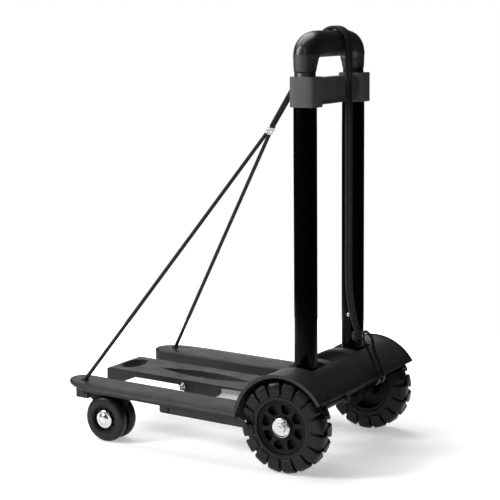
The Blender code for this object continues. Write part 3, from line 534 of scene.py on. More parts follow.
def studio():
    """A small white floor, a tall key and a strip near the camera, a wide overhead and a low backdrop."""
    softbox("key", (1.35, -1.25, 1.3), (0, 0, 0.45), (0.4, 1.7), 40)
    softbox("strip", (1.85, 0.5, 1.4), (0, 0, 0.5), (0.08, 1.5), 3.5)
    softbox("overhead", (-0.4, -0.7, 2.0), (0, 0, 0.1), (1.8, 1.8), 37)
    softbox("backdrop", (-2.2, -1.3, 0.5), (0, 0, 0.1), (2.4, 0.5), 9)
    bpy.ops.mesh.primitive_circle_add(vertices=96, radius=FLOOR_R, fill_type="NGON")
    floor = bpy.context.active_object
    floor.name = "floor"
    g = Graph("floor_paper")
    mottle = g.noise(3, 3)
    g.finish(g.blend(mottle, grey(0.9), grey(0.93)), g.span(mottle, 0.3, 0.7, 0.75, 0.9), specular=0.1)
    middle = g.node("VectorMath", Vector=g.place)
    middle.operation = "LENGTH"
    glow = g.span(middle.outputs["Value"], 0.3, FLOOR_R, 0.42, 1.0)
    g.shader.inputs["Emission Color"].default_value = (1.0, 1.0, 1.0, 1.0)
    g.feed(g.shader.inputs["Emission Strength"], glow)
    floor.data.materials.append(g.mat)
    world = bpy.data.worlds.new("studio")
    bpy.context.scene.world = world
    world.use_nodes = True
    nodes, links = world.node_tree.nodes, world.node_tree.links
    ground = nodes["Background"]
    ground.inputs["Color"].default_value = (0.04, 0.04, 0.04, 1.0)
    white = nodes.new("ShaderNodeBackground")
    white.inputs["Color"].default_value = (1.0, 1.0, 1.0, 1.0)
    seen = nodes.new("ShaderNodeLightPath")
    either = nodes.new("ShaderNodeMixShader")
    links.new(seen.outputs["Is Camera Ray"], either.inputs[0])
    links.new(ground.outputs[0], either.inputs[1])
    links.new(white.outputs[0], either.inputs[2])
    links.new(either.outputs[0], nodes["World Output"].inputs["Surface"])
    bpy.context.scene.view_settings.view_transform = "Standard"


# ---- Bungee ----


def tangents(points):
    runs = [b - a for a, b in zip(points, points[1:])]
    found = [runs[0].normalized()]
    for before, after in zip(runs, runs[1:]):
        near, far = before.length, after.length
        found.append((before.normalized() * far + after.normalized() * near) / (near + far))
    return found + [runs[-1].normalized()]


def smooth(points, gap):
    """Points about gap apart on a smooth curve through the route's points."""
    fine = []
    ways = tangents(points)
    for k in range(len(points) - 1):
        a, b = points[k], points[k + 1]
        long = (b - a).length
        steps = max(2, round(long / gap))
        for step in range(steps):
            t = step / steps
            place_a = a * (2 * t**3 - 3 * t**2 + 1) + ways[k] * long * (t**3 - 2 * t**2 + t)
            place_b = b * (3 * t**2 - 2 * t**3) + ways[k + 1] * long * (t**3 - t**2)
            fine.append(place_a + place_b)
    return fine + [points[-1]]


def sleeve_tube(name, route, radius, sides=20):
    """A round tube along a route, with its length and girth in its UV map."""
    shape = bmesh.new()
    uv = shape.loops.layers.uv.new("UVMap")
    ways = tangents(route)
    side = ways[0].cross(Vector((1, 0, 0)))
    if side.length < 0.1:
        side = ways[0].cross(Vector((0, 1, 0)))
    rings, reach, gone = [], [], 0.0
    for k, (point, way) in enumerate(zip(route, ways)):
        if k:
            gone += (point - route[k - 1]).length
        way = way.normalized()
        side = (side - way * side.dot(way)).normalized()
        other = way.cross(side)
        ring = []
        for step in range(sides):
            a = 2 * pi * step / sides
            ring.append(shape.verts.new(point + (side * cos(a) + other * sin(a)) * radius))
        rings.append(ring)
        reach.append(gone / (2 * pi * radius))
    for k in range(len(rings) - 1):
        for step in range(sides):
            n = (step + 1) % sides
            face = shape.faces.new((rings[k][step], rings[k][n], rings[k + 1][n], rings[k + 1][step]))
            spots = ((step, k), (step + 1, k), (step + 1, k + 1), (step, k + 1))
            for loop, (u, v) in zip(face.loops, spots):
                loop[uv].uv = (u / sides, reach[v])
    shape.faces.new(rings[0])
    shape.faces.new(rings[-1])
    bmesh.ops.recalc_face_normals(shape, faces=shape.faces)
    return solid(name, shape, clean=False)


def over_radius(turn):
    """From the bar's middle to the cord's, where it lies on the bar's squarish section."""
    bar = GRIP_R / (abs(cos(turn)) ** 2.2 + abs(sin(turn)) ** 2.2) ** (1 / 2.2)
    return bar + OVER_R - GRIP_R


def over_direction():
    """Where the cord first touches the grip, coming from the clip, and its angle seen along X."""
    bar = Vector((0, 0, GRIP_BAR_Z))
    to_bar = Vector((0, bar.y - CLIP.y, bar.z - CLIP.z))
    angle = atan2(to_bar.z, to_bar.y) + asin(OVER_R / to_bar.length)
    return bar + OVER_R * Vector((0, -sin(angle), cos(angle))), angle


def front_route(side):
    x, y = CORD_HOLE
    start = Vector((side * x, y, DECK_TOP - PLATE + rise(y) + 0.001))
    bend = start + Vector((0, 0, 0.0035))
    end = CLIP + Vector((side * STRAND_HALF, 0, 0))
    run = (end - bend).normalized()
    end -= run * (CLIP_LENGTH / 2 + CLIP_GAP)
    return [start, bend, bend + run * 0.004] + [bend.lerp(end, share) for share in (0.25, 0.5, 0.75, 1)]


def over_route(side):
    touch, angle = over_direction()
    x = STRAND_X[side]
    start = CLIP + Vector((side * STRAND_HALF, 0, 0))
    touch = Vector((x, touch.y, touch.z))
    start += (touch - start).normalized() * (CLIP_LENGTH / 2 + CLIP_GAP)
    points = [start] + [start.lerp(touch, share) for share in (0.35, 0.7)]
    for k in range(13):
        turn = (angle + pi / 2) * (1 - k / 12)
        r = over_radius(turn)
        points.append(Vector((x, r * cos(turn), GRIP_BAR_Z + r * sin(turn))))
    return points + [Vector((x, OVER_R, z)) for z in (0.54, 0.48, 0.42, 0.36, SPLIT_Z)]


def tail_route(side):
    x = STRAND_X[side]
    end = KNOT + Vector((side * STRAND_HALF, -0.001, 0.0092))
    return [
        Vector((x, OVER_R, SPLIT_Z)),
        Vector((x, OVER_R, 0.26)),
        Vector((x * 0.85 + end.x * 0.15, OVER_R + 0.001, 0.225)),
        Vector((x * 0.45 + end.x * 0.55, OVER_R + 0.004, 0.195)),
        end,
    ]


def strand(kind, name, route):
    """One run of the bungee, between two bodies."""
    fine = smooth(route, CORD_D / 2)
    node = f"bungee_{kind}_{name}"
    tube = sleeve_tube(f"{node}_sleeve", fine, CORD_D / 2)
    show(tube, SLEEVE, None, "bungee_cord", node)
    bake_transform(tube)


def clip():
    """A flat sleeve crimped around both strands, with two crimp grooves."""
    touch, _ = over_direction()
    run = (Vector((CLIP.x, touch.y, touch.z)) - CLIP).normalized()
    across = Vector((1, 0, 0))
    depth = run.cross(across)
    loops = []
    stations = (
        (-0.5, 0.86), (-0.47, 0.97), (-0.42, 1.0), (-0.26, 1.0), (-0.2, 0.93), (-0.14, 1.0),
        (0.14, 1.0), (0.2, 0.93), (0.26, 1.0), (0.42, 1.0), (0.47, 0.97), (0.5, 0.86),
    )
    for share, grow in stations:
        centre = CLIP + run * (CLIP_LENGTH * share)
        section = oval((0, 0), 0.0072 * grow, 0.0042 * grow, 40, 2.6)
        loops.append([centre + across * u + depth * v for u, v in section])
    return show(solid("clip_sleeve", loft(loops)), ALUMINIUM, "mast", "steel", "bungee_clip")


def knot():
    """Cord wound round itself and the hook's wire, then tucked through."""
    turns = []
    for k in range(110):
        share = k / 109
        a = 2 * pi * 3.1 * share
        radius = 0.005 + 0.0008 * sin(a * 0.5 + 1)
        y = radius * 0.75 * sin(a) - 0.001
        turns.append(KNOT + Vector((radius * cos(a), y, 0.0052 - 0.0104 * share)))
    wound = sleeve_tube("hook_knot", turns, CORD_D / 2, 14)
    show(wound, SLEEVE, "platform", "bungee_cord", "bungee_knot")
    return wound


def hook_leg(x, top):
    route = [top]
    for degrees, radius in HOOK_BEND:
        a = radians(degrees)
        route.append(Vector((x, radius * cos(a), AXLE_Z + radius * sin(a))))
    return route


def hook():
    near = hook_leg(HOOK_X[0], Vector((HOOK_X[0], 0.0425, 0.156)))
    far = hook_leg(HOOK_X[1], Vector((HOOK_X[1], 0.046, 0.16)))
    arch = [Vector((-0.0265, 0.0395, 0.1665)), Vector((-0.0335, 0.0395, 0.169))]
    wire = sleeve_tube("hook_wire", smooth(list(reversed(near)) + arch + far, 0.0012), WIRE_R, 16)
    show(soften(wire, 0.0009, 3), COATING, "platform", "hook_coating", "bungee_hook")


def stopper(name, side):
    """The strand's end, knotted in its anchor box under the hole."""
    x, y = CORD_HOLE
    centre = Vector((side * x, y, 0.0665 + rise(y)))
    turns = []
    for k in range(90):
        share = k / 89
        a = 2 * pi * 2.6 * share
        if share < 0.75:
            radius = 0.0046 * sin(pi * min(1.0, 0.25 + share)) ** 0.3
        else:
            radius = 0.0046 * (1 - share) / 0.25
        turns.append(centre + Vector((radius * cos(a), radius * sin(a), -0.002 + 0.0042 * share)))
    turns += [centre + Vector((0, 0, 0.004 + 0.0012 * k)) for k in range(5)]
    tube = sleeve_tube(f"stopper_{name}", turns, CORD_D / 2, 14)
    show(tube, SLEEVE, "platform", "bungee_cord", f"cord_knot_{name}")
    return tube


def bungee():
    crimp = clip()
    wound = knot()
    hook()
    for name, side in SIDES:
        end = stopper(name, side)
        front, over, tail = front_route(side), over_route(side), tail_route(side)
        strand("front", name, front)
        strand("over", name, over)
        strand("tail", name, list(reversed(tail)))


# ---- Mast ----


def upright_pipe(outer, inner, ends, lip=0.0004):
    """A tube wall between two equal outlines, its end edges a little rounded."""
    loops = []
    low, high = ends
    for (ux, uy), (vx, vy) in zip(outer, inner):
        mx, my = (ux + vx) / 2, (uy + vy) / 2
        loops.append([
            (ux, uy, low + lip), (ux, uy, high - lip), (mx, my, high),
            (vx, vy, high - lip), (vx, vy, low + lip), (mx, my, low),
        ])
    return loft(loops, around=True)


def outer_tube(name, side):
    centre = (side * TUBE_X, 0)
    outside, bore = oval(centre, TUBE_RX, TUBE_RY), oval(centre, TUBE_RX - TUBE_WALL, TUBE_RY - TUBE_WALL)
    tube = solid(f"mast_tube_{name}", upright_pipe(outside, bore, (TUBE_FOOT_TOP, TUBE_TOP)))
    face = side * (TUBE_X - TUBE_RX)
    ends = mirrored(1, (face - side * 0.002, face + side * 0.004))
    carve(tube, cuts=[rod("X", (0, z), BUTTON_R + 0.0006, ends, 32) for z in BUTTON_HOLES])
    show(soften(tube, 0.0003, 2), PAINT, "mast", "black_paint", f"outer_tube_{name}")


def tube_foot(name, side):
    half = TUBE_RX - 0.0015
    knuckle = arc(REAR_AXLE, TUBE_RY, 180, 360, 40) + [(TUBE_RY, TUBE_FOOT_TOP), (-TUBE_RY, TUBE_FOOT_TOP)]
    foot = solid(f"mast_foot_{name}", crosswise(side, knuckle, TUBE_X - half, TUBE_X + half))
    collar = oval((side * TUBE_X, 0), TUBE_RX - 0.0001, TUBE_RY, 56)
    bore = rod("X", REAR_AXLE, AXLE_R + 0.0002, mirrored(side, (TUBE_X - 0.02, TUBE_X + 0.02)))
    carve(foot, [prism(collar, "Z", (TUBE_FOOT_TOP - 0.0065, TUBE_FOOT_TOP - 0.0002))], [bore])
    show(soften(foot, 0.0008), PART_PLASTIC, "mast", "black_plastic", f"tube_foot_{name}")


def tube_clamp():
    """Two rounded blocks around the tubes' tops, joined by a plate with a shallow panel in each face."""
    clamp = solid("mast_clamp", box((-0.058, 0.058), (BRIDGE_Y[0] + 0.0008, BRIDGE_Y[1] - 0.0008), BRIDGE_Z))
    joins, cuts = [], []
    for rail in ((BRIDGE_Z[0], BRIDGE_Z[0] + 0.0035), (BRIDGE_Z[1] - 0.0035, BRIDGE_Z[1])):
        joins.append(box((-0.057, 0.057), BRIDGE_Y, rail))
    for _, side in SIDES:
        centre = (side * TUBE_X, 0)
        joins.append(prism(oval((centre[0], CLAMP_Y), CLAMP_RX, CLAMP_RY, 88, 4.4), "Z", CLAMP_Z))
        cuts.append(prism(oval(centre, TUBE_RX + 0.0001, TUBE_RY + 0.0001), "Z", (0.49, TUBE_TOP + 0.0003)))
        cuts.append(prism(oval(centre, TUBE_RX - TUBE_WALL, TUBE_RY - TUBE_WALL), "Z", (0.49, 0.54)))
    carve(clamp, joins, cuts)
    show(soften(clamp, 0.001, 4), CLAMP_PLASTIC, "mast", "clamp_plastic", "tube_clamp")


def axle_parts():
    half = WHEEL_X[1] - 0.003
    rod_piece = solid("axle_rod", rod("X", REAR_AXLE, AXLE_R, (-half, half)))
    show(soften(rod_piece, 0.0005), BLACK_STEEL, "mast", "steel", "rear_axle")
    profile = sleeve_profile((RIB_X[1][1] + 0.0003, WHEEL_X[0] + 0.0007), AXLE_R + 0.0003, 0.0085)
    for name, side in SIDES:
        ring = solid(f"axle_spacer_{name}", turned_ring(side, profile, REAR_AXLE, 48))
        show(soften(ring, 0.0004), PART_PLASTIC, "mast", "black_plastic", f"wheel_spacer_{name}")
        cap(name, side)


def cap(name, side):
    """The chrome cap: a shallow dished disc, a raised hexagon and the axle's end in the middle."""
    inner = WHEEL_X[1] - 0.0027
    profile = shifted(inner, (
        (0, 0.012), (0.0004, 0.0136), (0.0012, 0.0138), (0.0018, 0.0134), (0.0022, 0.0125), (0.0018, 0.0112),
        (0.0016, 0.0095),
    ))
    disc = solid(f"cap_disc_{name}", turned(side, profile, REAR_AXLE, 72))
    c, s = cos(HEAD_TURN), sin(HEAD_TURN)
    head = [(y * c - z * s, AXLE_Z + y * s + z * c) for y, z in circle((0, 0), 0.0078, 6)]
    end = shifted(inner, ((0.001, 0.0042), (0.0058, 0.0042), (0.0064, 0.003)))
    tip = turned(side, end, REAR_AXLE, 32)
    carve(disc, [crosswise(side, head, inner + 0.001, inner + 0.0056), tip])
    show(soften(disc, 0.0005, 3), CHROME, "mast", "chrome", f"rear_cap_{name}")


# ---- Rear wheels ----


def tyre(name, side):
    """A round carcass under two staggered rows of slanting blocks that meet in a zigzag."""
    middle, half = sum(WHEEL_X) / 2, (WHEEL_X[1] - WHEEL_X[0]) / 2
    wall = (
        (0.003, 0.0376), (0.0016, 0.0385), (0.001, 0.041), (0.0014, 0.044), (0.0024, 0.0475),
        (0.003, 0.053), (0.0042, 0.057), (0.0075, 0.0594),
    )
    tread = [(-0.004, 0.0602), (0.004, 0.0602)]
    carcass = shifted(-half, wall) + tread + [(half - x, r) for x, r in reversed(wall)]
    shape = turned_ring(side, shifted(middle, carcass), REAR_AXLE, 160)
    pitch = 2 * pi / LUGS
    for row in (-1, 1):
        for lug in range(LUGS):
            start = pitch * (lug + (0.5 if row < 0 else 0.0))
            block(shape, side, middle, half, row, start, pitch)
    wheel = solid(f"wheel_tyre_{name}", shape, clean=False)
    show(soften(wheel, 0.0008, 3, 38), TYRE, f"rear_wheel_{name}", "tyre_rubber", f"rear_tyre_{name}")


def block(shape, side, middle, half, row, start, pitch):
    """One lug: wide and square on the sidewall, slanting to a narrow nose past the tread's middle."""
    # (x from the wheel's middle, radius at the lug's top, radius at its foot, start and width in pitches)
    stations = (
        (half - 0.001, 0.0462, 0.0445, 0.16, 0.62),
        (half - 0.0002, 0.048, 0.0455, 0.11, 0.72),
        (half, 0.0505, 0.047, 0.09, 0.77),
        (half, 0.0572, 0.05, 0.07, 0.8),
        (half - 0.0012, 0.0612, 0.053, 0.07, 0.8),
        (half - 0.0045, 0.0641, 0.056, 0.08, 0.8),
        (half - 0.009, WHEEL_R, 0.058, 0.12, 0.74),
        (0.003, WHEEL_R, 0.0585, 0.22, 0.6),
        (-0.001, WHEEL_R - 0.0003, 0.0585, 0.3, 0.44),
    )
    loops = []
    for x, top, foot, from_share, width in stations:
        loop = []
        a0 = start + pitch * from_share
        a1 = a0 + pitch * width
        round_off = pitch * 0.075
        edge = top - min(0.0018, (top - foot) * 0.45)
        crown = (a0 + round_off, (a0 + a1) / 2, a1 - round_off)
        for r, angles in ((foot, (a1, a0)), (edge, (a0,)), (top, crown), (edge, (a1,))):
            for a in angles:
                loop.append((side * (middle + row * x), r * cos(a), AXLE_Z + r * sin(a)))
        loops.append(loop)
    rings = [[shape.verts.new(p) for p in loop] for loop in loops]
    faces = []
    for lower, upper in zip(rings, rings[1:]):
        for k in range(7):
            n = (k + 1) % 7
            faces.append(shape.faces.new((lower[k], lower[n], upper[n], upper[k])))
    faces += [shape.faces.new(rings[0]), shape.faces.new(rings[-1])]
    bmesh.ops.recalc_face_normals(shape, faces=faces)


def rim(name, side):
    inner, outer = WHEEL_X[0] + 0.001, WHEEL_X[1] - 0.0035
    web = (outer - 0.011, outer - 0.002)
    profile = [
        (inner, 0.0085), (inner, 0.015), (web[0], 0.017), (web[0], 0.0325), (inner + 0.001, 0.0335),
        (inner + 0.001, 0.0374), (outer - 0.0004, 0.0374), (outer, 0.0368), (outer, 0.0352),
        (outer - 0.0008, 0.0348), (outer - 0.0008, 0.0338), (web[1], 0.0328), (web[1], 0.0172),
        (outer, 0.0158), (outer, 0.0085),
    ]
    wheel = solid(f"wheel_rim_{name}", turned_ring(side, profile, REAR_AXLE, 128))
    corners = (
        (0.0192, -11), (0.0192, 11), (0.0265, 16.5), (0.0318, 15), (0.0322, 0), (0.0318, -15),
        (0.0265, -16.5),
    )
    ends = mirrored(side, (web[0] + 0.002, web[1] + 0.002))
    carve(wheel, cuts=pockets(REAR_AXLE, SPOKES, POCKET_TURN, corners, 0.0014, 4, ends))
    show(soften(wheel, 0.0006, 3), RIM_PLASTIC, f"rear_wheel_{name}", "rim_plastic", f"rear_rim_{name}")
    sleeve = sleeve_profile((WHEEL_X[0] + 0.0012, WHEEL_X[1] - 0.0037), AXLE_R + 0.0003, 0.0082)
    bush = solid(f"wheel_bush_{name}", turned_ring(side, sleeve, REAR_AXLE, 48))
    show(soften(bush, 0.0003, 2), NYLON, f"rear_wheel_{name}", "nylon", f"rear_bush_{name}")


# ---- Handle ----


def inner_section(side, inset=0.0, steps=72):
    r = TUBE_WALL + 0.0003 + inset
    return oval((side * TUBE_X, 0), TUBE_RX - r, TUBE_RY - r, steps)


def handle_tubes(name, side):
    bottom = BUTTON_Z - 0.018
    pipe = upright_pipe(inner_section(side), inner_section(side, 0.001), (bottom, GRIP_FOOT + 0.022))
    tube = solid(f"handle_tube_{name}", pipe)
    face = side * (TUBE_X - TUBE_RX)
    ends = mirrored(1, (face, face + side * 0.006))
    carve(tube, cuts=[rod("X", (0, BUTTON_Z), BUTTON_R + 0.0003, ends, 32)])
    show(tube, INNER_PAINT, "handle", "inner_tube_paint", f"inner_tube_{name}")
    glide = solid(f"handle_glide_{name}", prism(inner_section(side), "Z", (bottom - 0.008, bottom - 0.0003)))
    carve(glide, [prism(inner_section(side, 0.0013), "Z", (bottom - 0.002, bottom + 0.006))])
    show(soften(glide, 0.0005), PART_PLASTIC, "handle", "black_plastic", f"tube_glide_{name}")


def grip_stations(corner_steps=14):
    """Outer and inner points in X and Z, up the left post to the bar's middle, and the depth as a share."""
    outer_x, inner_x = TUBE_X + GRIP_POST, TUBE_X - GRIP_POST
    turn_z = GRIP_TOP - GRIP_CORNER
    pairs = [
        ((outer_x - 0.0012, GRIP_FOOT), (inner_x + 0.0012, GRIP_FOOT), 0.92),
        ((outer_x - 0.0008, GRIP_FOOT + 0.0006), (inner_x + 0.0006, GRIP_FOOT + 0.0006), 0.95),
        ((outer_x - 0.0006, GRIP_FOOT + 0.002), (inner_x + 0.0002, GRIP_FOOT + 0.0016), 0.97),
        ((outer_x - 0.0004, GRIP_FOOT + 0.01), (inner_x - 0.001, GRIP_FOOT + 0.006), 0.98),
        ((outer_x - 0.0003, turn_z - 0.001), (inner_x - 0.0034, GRIP_UNDER - GRIP_FILLET - 0.0004), 0.985),
        ((outer_x - 0.0006, turn_z - 0.0005), (inner_x - 0.0034, GRIP_UNDER - GRIP_FILLET - 0.0002), 0.975),
    ]
    for k in range(corner_steps + 1):
        a = pi / 2 * k / corner_steps
        outside = (outer_x - GRIP_SWEEP * (1 - cos(a)), turn_z + GRIP_CORNER * sin(a))
        flare = 0.0035 + GRIP_FILLET * (1 - cos(a))
        inside = (inner_x - flare, GRIP_UNDER - GRIP_FILLET * (1 - sin(a)))
        pairs.append((outside, inside, 1.0))
    for share in (0.3, 0.6, 0.85):
        x_out, x_in = pairs[-1][0][0], pairs[-1][1][0]
        pairs.append(((x_out * (1 - share), GRIP_TOP), (x_in * (1 - share), GRIP_UNDER), 1.0))
    pairs.append(((0.0, GRIP_TOP), (0.0, GRIP_UNDER), 1.0))
    return pairs


def grip():
    left = grip_stations()
    right = [((-o[0], o[1]), (-i[0], i[1]), d) for o, i, d in reversed(left[:-1])]
    loops = []
    for (ox, oz), (ix, iz), deep in left + right:
        centre = Vector(((ox + ix) / 2, 0, (oz + iz) / 2))
        across = Vector(((ox - ix) / 2, 0, (oz - iz) / 2))
        share = min(1.0, max(0.0, (centre.z - GRIP_FOOT) / (GRIP_BAR_Z - GRIP_FOOT)))
        depth = (GRIP_POST + 0.0015 + (GRIP_R - GRIP_POST - 0.0015) * share) * deep
        section = oval((0, 0), 1, 1, 56, 2.2)
        loops.append([centre + across * u + Vector((0, v * depth, 0)) for u, v in section])
    bar = solid("handle_arch", loft(loops))
    socket = (GRIP_FOOT - 0.002, 0.568)
    carve(bar, cuts=[prism(inner_section(side, -0.0003), "Z", socket) for _, side in SIDES])
    show(soften(bar, 0.0003, 2, 40), GRIP_PLASTIC, "handle", "grip_plastic", "handle_grip")


def snap_button(name, side):
    profile = shifted(TUBE_X - TUBE_RX, (
        (0.006, 0.0042), (0.0034, 0.0042), (0.0034, BUTTON_R), (-0.0008, BUTTON_R), (-0.0014, 0.0029),
        (-0.0019, 0.0022), (-0.0022, 0.0012),
    ))
    stud = solid(f"button_stud_{name}", turned(side, profile, (0, BUTTON_Z), 40))
    show(soften(stud, 0.0002, 2), CHROME, f"snap_button_{name}", "chrome", f"snap_button_{name}")


# ---- Platform ----


def wedge(radius_in, radius_out, start, stop, steps):
    outer = arc(REAR_AXLE, radius_out, start, stop, steps)
    inner = arc(REAR_AXLE, radius_in, stop, start, steps)
    return outer + inner


def window_outline(xs):
    """A window's plan: rounded at its rear corners, and open to the front."""
    low, high = xs
    return rounded([(low, -0.09), (low, WINDOW_BACK), (high, WINDOW_BACK), (high, -0.09)], 0.0035)


def housing():
    shell = prism(wedge(HOUSING_IN, HOUSING_R, LIP_ANGLE, FRONT_ANGLE, 96), "X", (-HOUSING_X, HOUSING_X))
    body = solid("housing_shell", shell)
    lip = wedge(HOUSING_IN - 0.0002, HOUSING_R + BEAD, LIP_ANGLE - 0.5, LIP_ANGLE + 2.2, 3)
    joins = [prism(lip, "X", (-HOUSING_X + 0.001, HOUSING_X - 0.001))]
    windows = []
    for _, side in SIDES:
        bead = wedge(HOUSING_IN - 0.0003, HOUSING_R + BEAD, LIP_ANGLE - 0.3, 166, 72)
        joins.append(crosswise(side, bead, HOUSING_X - 0.0026, HOUSING_X + 0.0004))
        for ends in RIB_X:
            edge = arc(REAR_AXLE, HOUSING_IN + 0.0012, LIP_ANGLE + 1, FRONT_ANGLE - 1, 40)
            boss = arc(REAR_AXLE, 0.01, 200, 380, 20)
            joins.append(crosswise(side, edge + boss, *ends))
        windows.append((mirrored(side, WINDOW_X), 0.075))
    windows.append(((-0.03, 0.03), 0.085))
    cuts = [prism(window_outline(xs), "Z", (foot, 0.15)) for xs, foot in windows]
    cuts += [box(mirrored(side, WINDOW_X), (-0.09, -0.045), (0.04, 0.12)) for _, side in SIDES]
    cuts.append(rod("X", REAR_AXLE, AXLE_R + 0.0003, (-0.12, 0.12)))
    cuts.append(box((-0.031, 0.031), (-0.09, -0.05), (0.085, 0.15)))
    carve(body, joins, cuts)
    show(soften(body, 0.0007, 3), HOUSING_PLASTIC, "platform", "black_plastic", "rear_housing")


def housing_cutter(xs):
    return rod("X", REAR_AXLE, HOUSING_IN + 0.001, xs, 144)


def side_outline(inset=0.0):
    inner, outer = SIDE_X[0] + inset, SIDE_X[1] - inset
    tip, rear = -DECK_REACH + inset, BOARD_REAR - inset
    corner_r = max(0.001, NOSE_R - inset)
    bend = inner + corner_r
    nose = arc((bend, NOSE_START), (outer - bend, NOSE_START - tip), 0, -90, 40)
    corner = arc((bend, tip + corner_r), corner_r, 270, 180, 20)
    straight = [(outer, rear + (NOSE_START - rear) * k / 6) for k in range(6)]
    back = [(inner, tip + corner_r + (rear - tip - corner_r) * k / 8) for k in range(1, 8)]
    return [(inner, rear)] + straight + nose + corner + back


def rise(y):
    """How far the boards stand above their level drawing: they climb a little towards their noses."""
    return 0.0145 * (-0.195 - y)


def climb(obj):
    """Tilt a deck piece with the boards."""
    for vert in obj.data.vertices:
        vert.co.z += rise(vert.co.y - AXLE_Y)
    return obj


def droop(x, z):
    """The board's top falls away a little towards its outer edge."""
    share = min(1.0, max(0.0, (abs(x) - 0.128) / 0.022))
    return z - DROOP * share * share


def side_board(name, side):
    """A plate with a rolled rim, an inner skirt that wraps its nose, an outer skirt and a cord anchor."""
    under, rim_foot = DECK_TOP - PLATE, DECK_TOP - RIM_DEPTH
    # (inset from the board's outline, height)
    stations = (
        (0.024, under), (0.012, under), (0.0036, under),
        (0.003, rim_foot), (0.0012, rim_foot), (0.0003, rim_foot + 0.0008),
        (0.0, DECK_TOP - 0.003), (0.0003, DECK_TOP - 0.0016), (0.001, DECK_TOP - 0.0006),
        (0.002, DECK_TOP - 0.0001), (0.003, DECK_TOP), (0.0042, DECK_TOP - 0.0002),
        (0.006, DECK_TOP - 0.0003), (0.01, DECK_TOP), (0.014, DECK_TOP), (0.018, DECK_TOP),
        (0.024, DECK_TOP),
    )
    loops = [[(side * x, y, droop(x, z)) for x, y in side_outline(inset)] for inset, z in stations]
    plate = loft(loops)
    bmesh.ops.triangulate(plate, faces=plate.faces)
    board = solid(f"deck_{name}", plate)
    top = DECK_TOP - PLATE + 0.0008
    outer = OUTER_SKIRT_X
    bend = (SIDE_X[0] + NOSE_R, -DECK_REACH + NOSE_R)
    skirt = arc(bend, NOSE_R - 0.0001, 180, 268, 24) + arc(bend, NOSE_R - SKIRT, 268, 180, 24)
    skirt += [(SIDE_X[0] + SKIRT, BOARD_REAR), (SIDE_X[0] + 0.0001, BOARD_REAR)]
    outer_end = [(-0.194, 0.064), (-0.192, 0.062), (-0.044, 0.062), (-0.057, droop(outer, top))]
    outer_end.append((-0.194, droop(outer, top)))
    x, y = CORD_HOLE
    joins = [
        prism([(side * u, v) for u, v in skirt], "Z", (SIDE_SKIRT_Z, top)),
        crosswise(side, outer_end, outer - SKIRT, outer),
        box(mirrored(side, (x - ANCHOR, x + ANCHOR)), (y - ANCHOR, y + ANCHOR), (ANCHOR_Z, top)),
        box(mirrored(side, (SIDE_X[0] + 0.001, 0.147)), (-0.183, -0.1805), (0.066, top - 0.001)),
        box(mirrored(side, (SIDE_X[0] + 0.001, 0.147)), (-0.125, -0.1225), (0.068, top - 0.001)),
    ]
    for rib in (0.108, 0.128):
        joins.append(box(mirrored(side, (rib, rib + 0.0018)), (-0.262, -0.07), (0.0712, top - 0.001)))
    notch = box(mirrored(side, (outer - 0.0014, outer + 0.001)), (-0.1797, -0.1765), (0.0635, 0.0712))
    inside = ANCHOR - 0.0018
    slit = [(y + 0.001, 0.0705), (y + 0.0078, 0.0705), (y + 0.0072, 0.0585)]
    cuts = [
        box(mirrored(side, (x - inside, x + inside)), (y - inside, y + inside), (ANCHOR_Z - 0.001, under)),
        crosswise(side, slit, x + inside - 0.002, x + ANCHOR + 0.001),
        rod("Z", (side * x, y), CORD_HOLE_R, (DECK_TOP - 0.01, DECK_TOP + 0.01), 40),
        rod("Z", (side * x, y), CORD_HOLE_R + 0.0018, (DECK_TOP - 0.0008, DECK_TOP + 0.01), 40),
        notch,
        housing_cutter(mirrored(side, (SIDE_X[0] - 0.01, HOUSING_X + 0.0006))),
    ]
    carve(board, joins, cuts)
    show(soften(climb(board), 0.0005, 2, 40), BOARD_PLASTIC, "platform", "board_plastic", f"{name}_board")


def leaf_outline(length, half, steps=40):
    there = [(half * sin(pi * k / steps), length * k / steps) for k in range(steps + 1)]
    back = [(-x, y) for x, y in reversed(there[1:-1])]
    return there + back


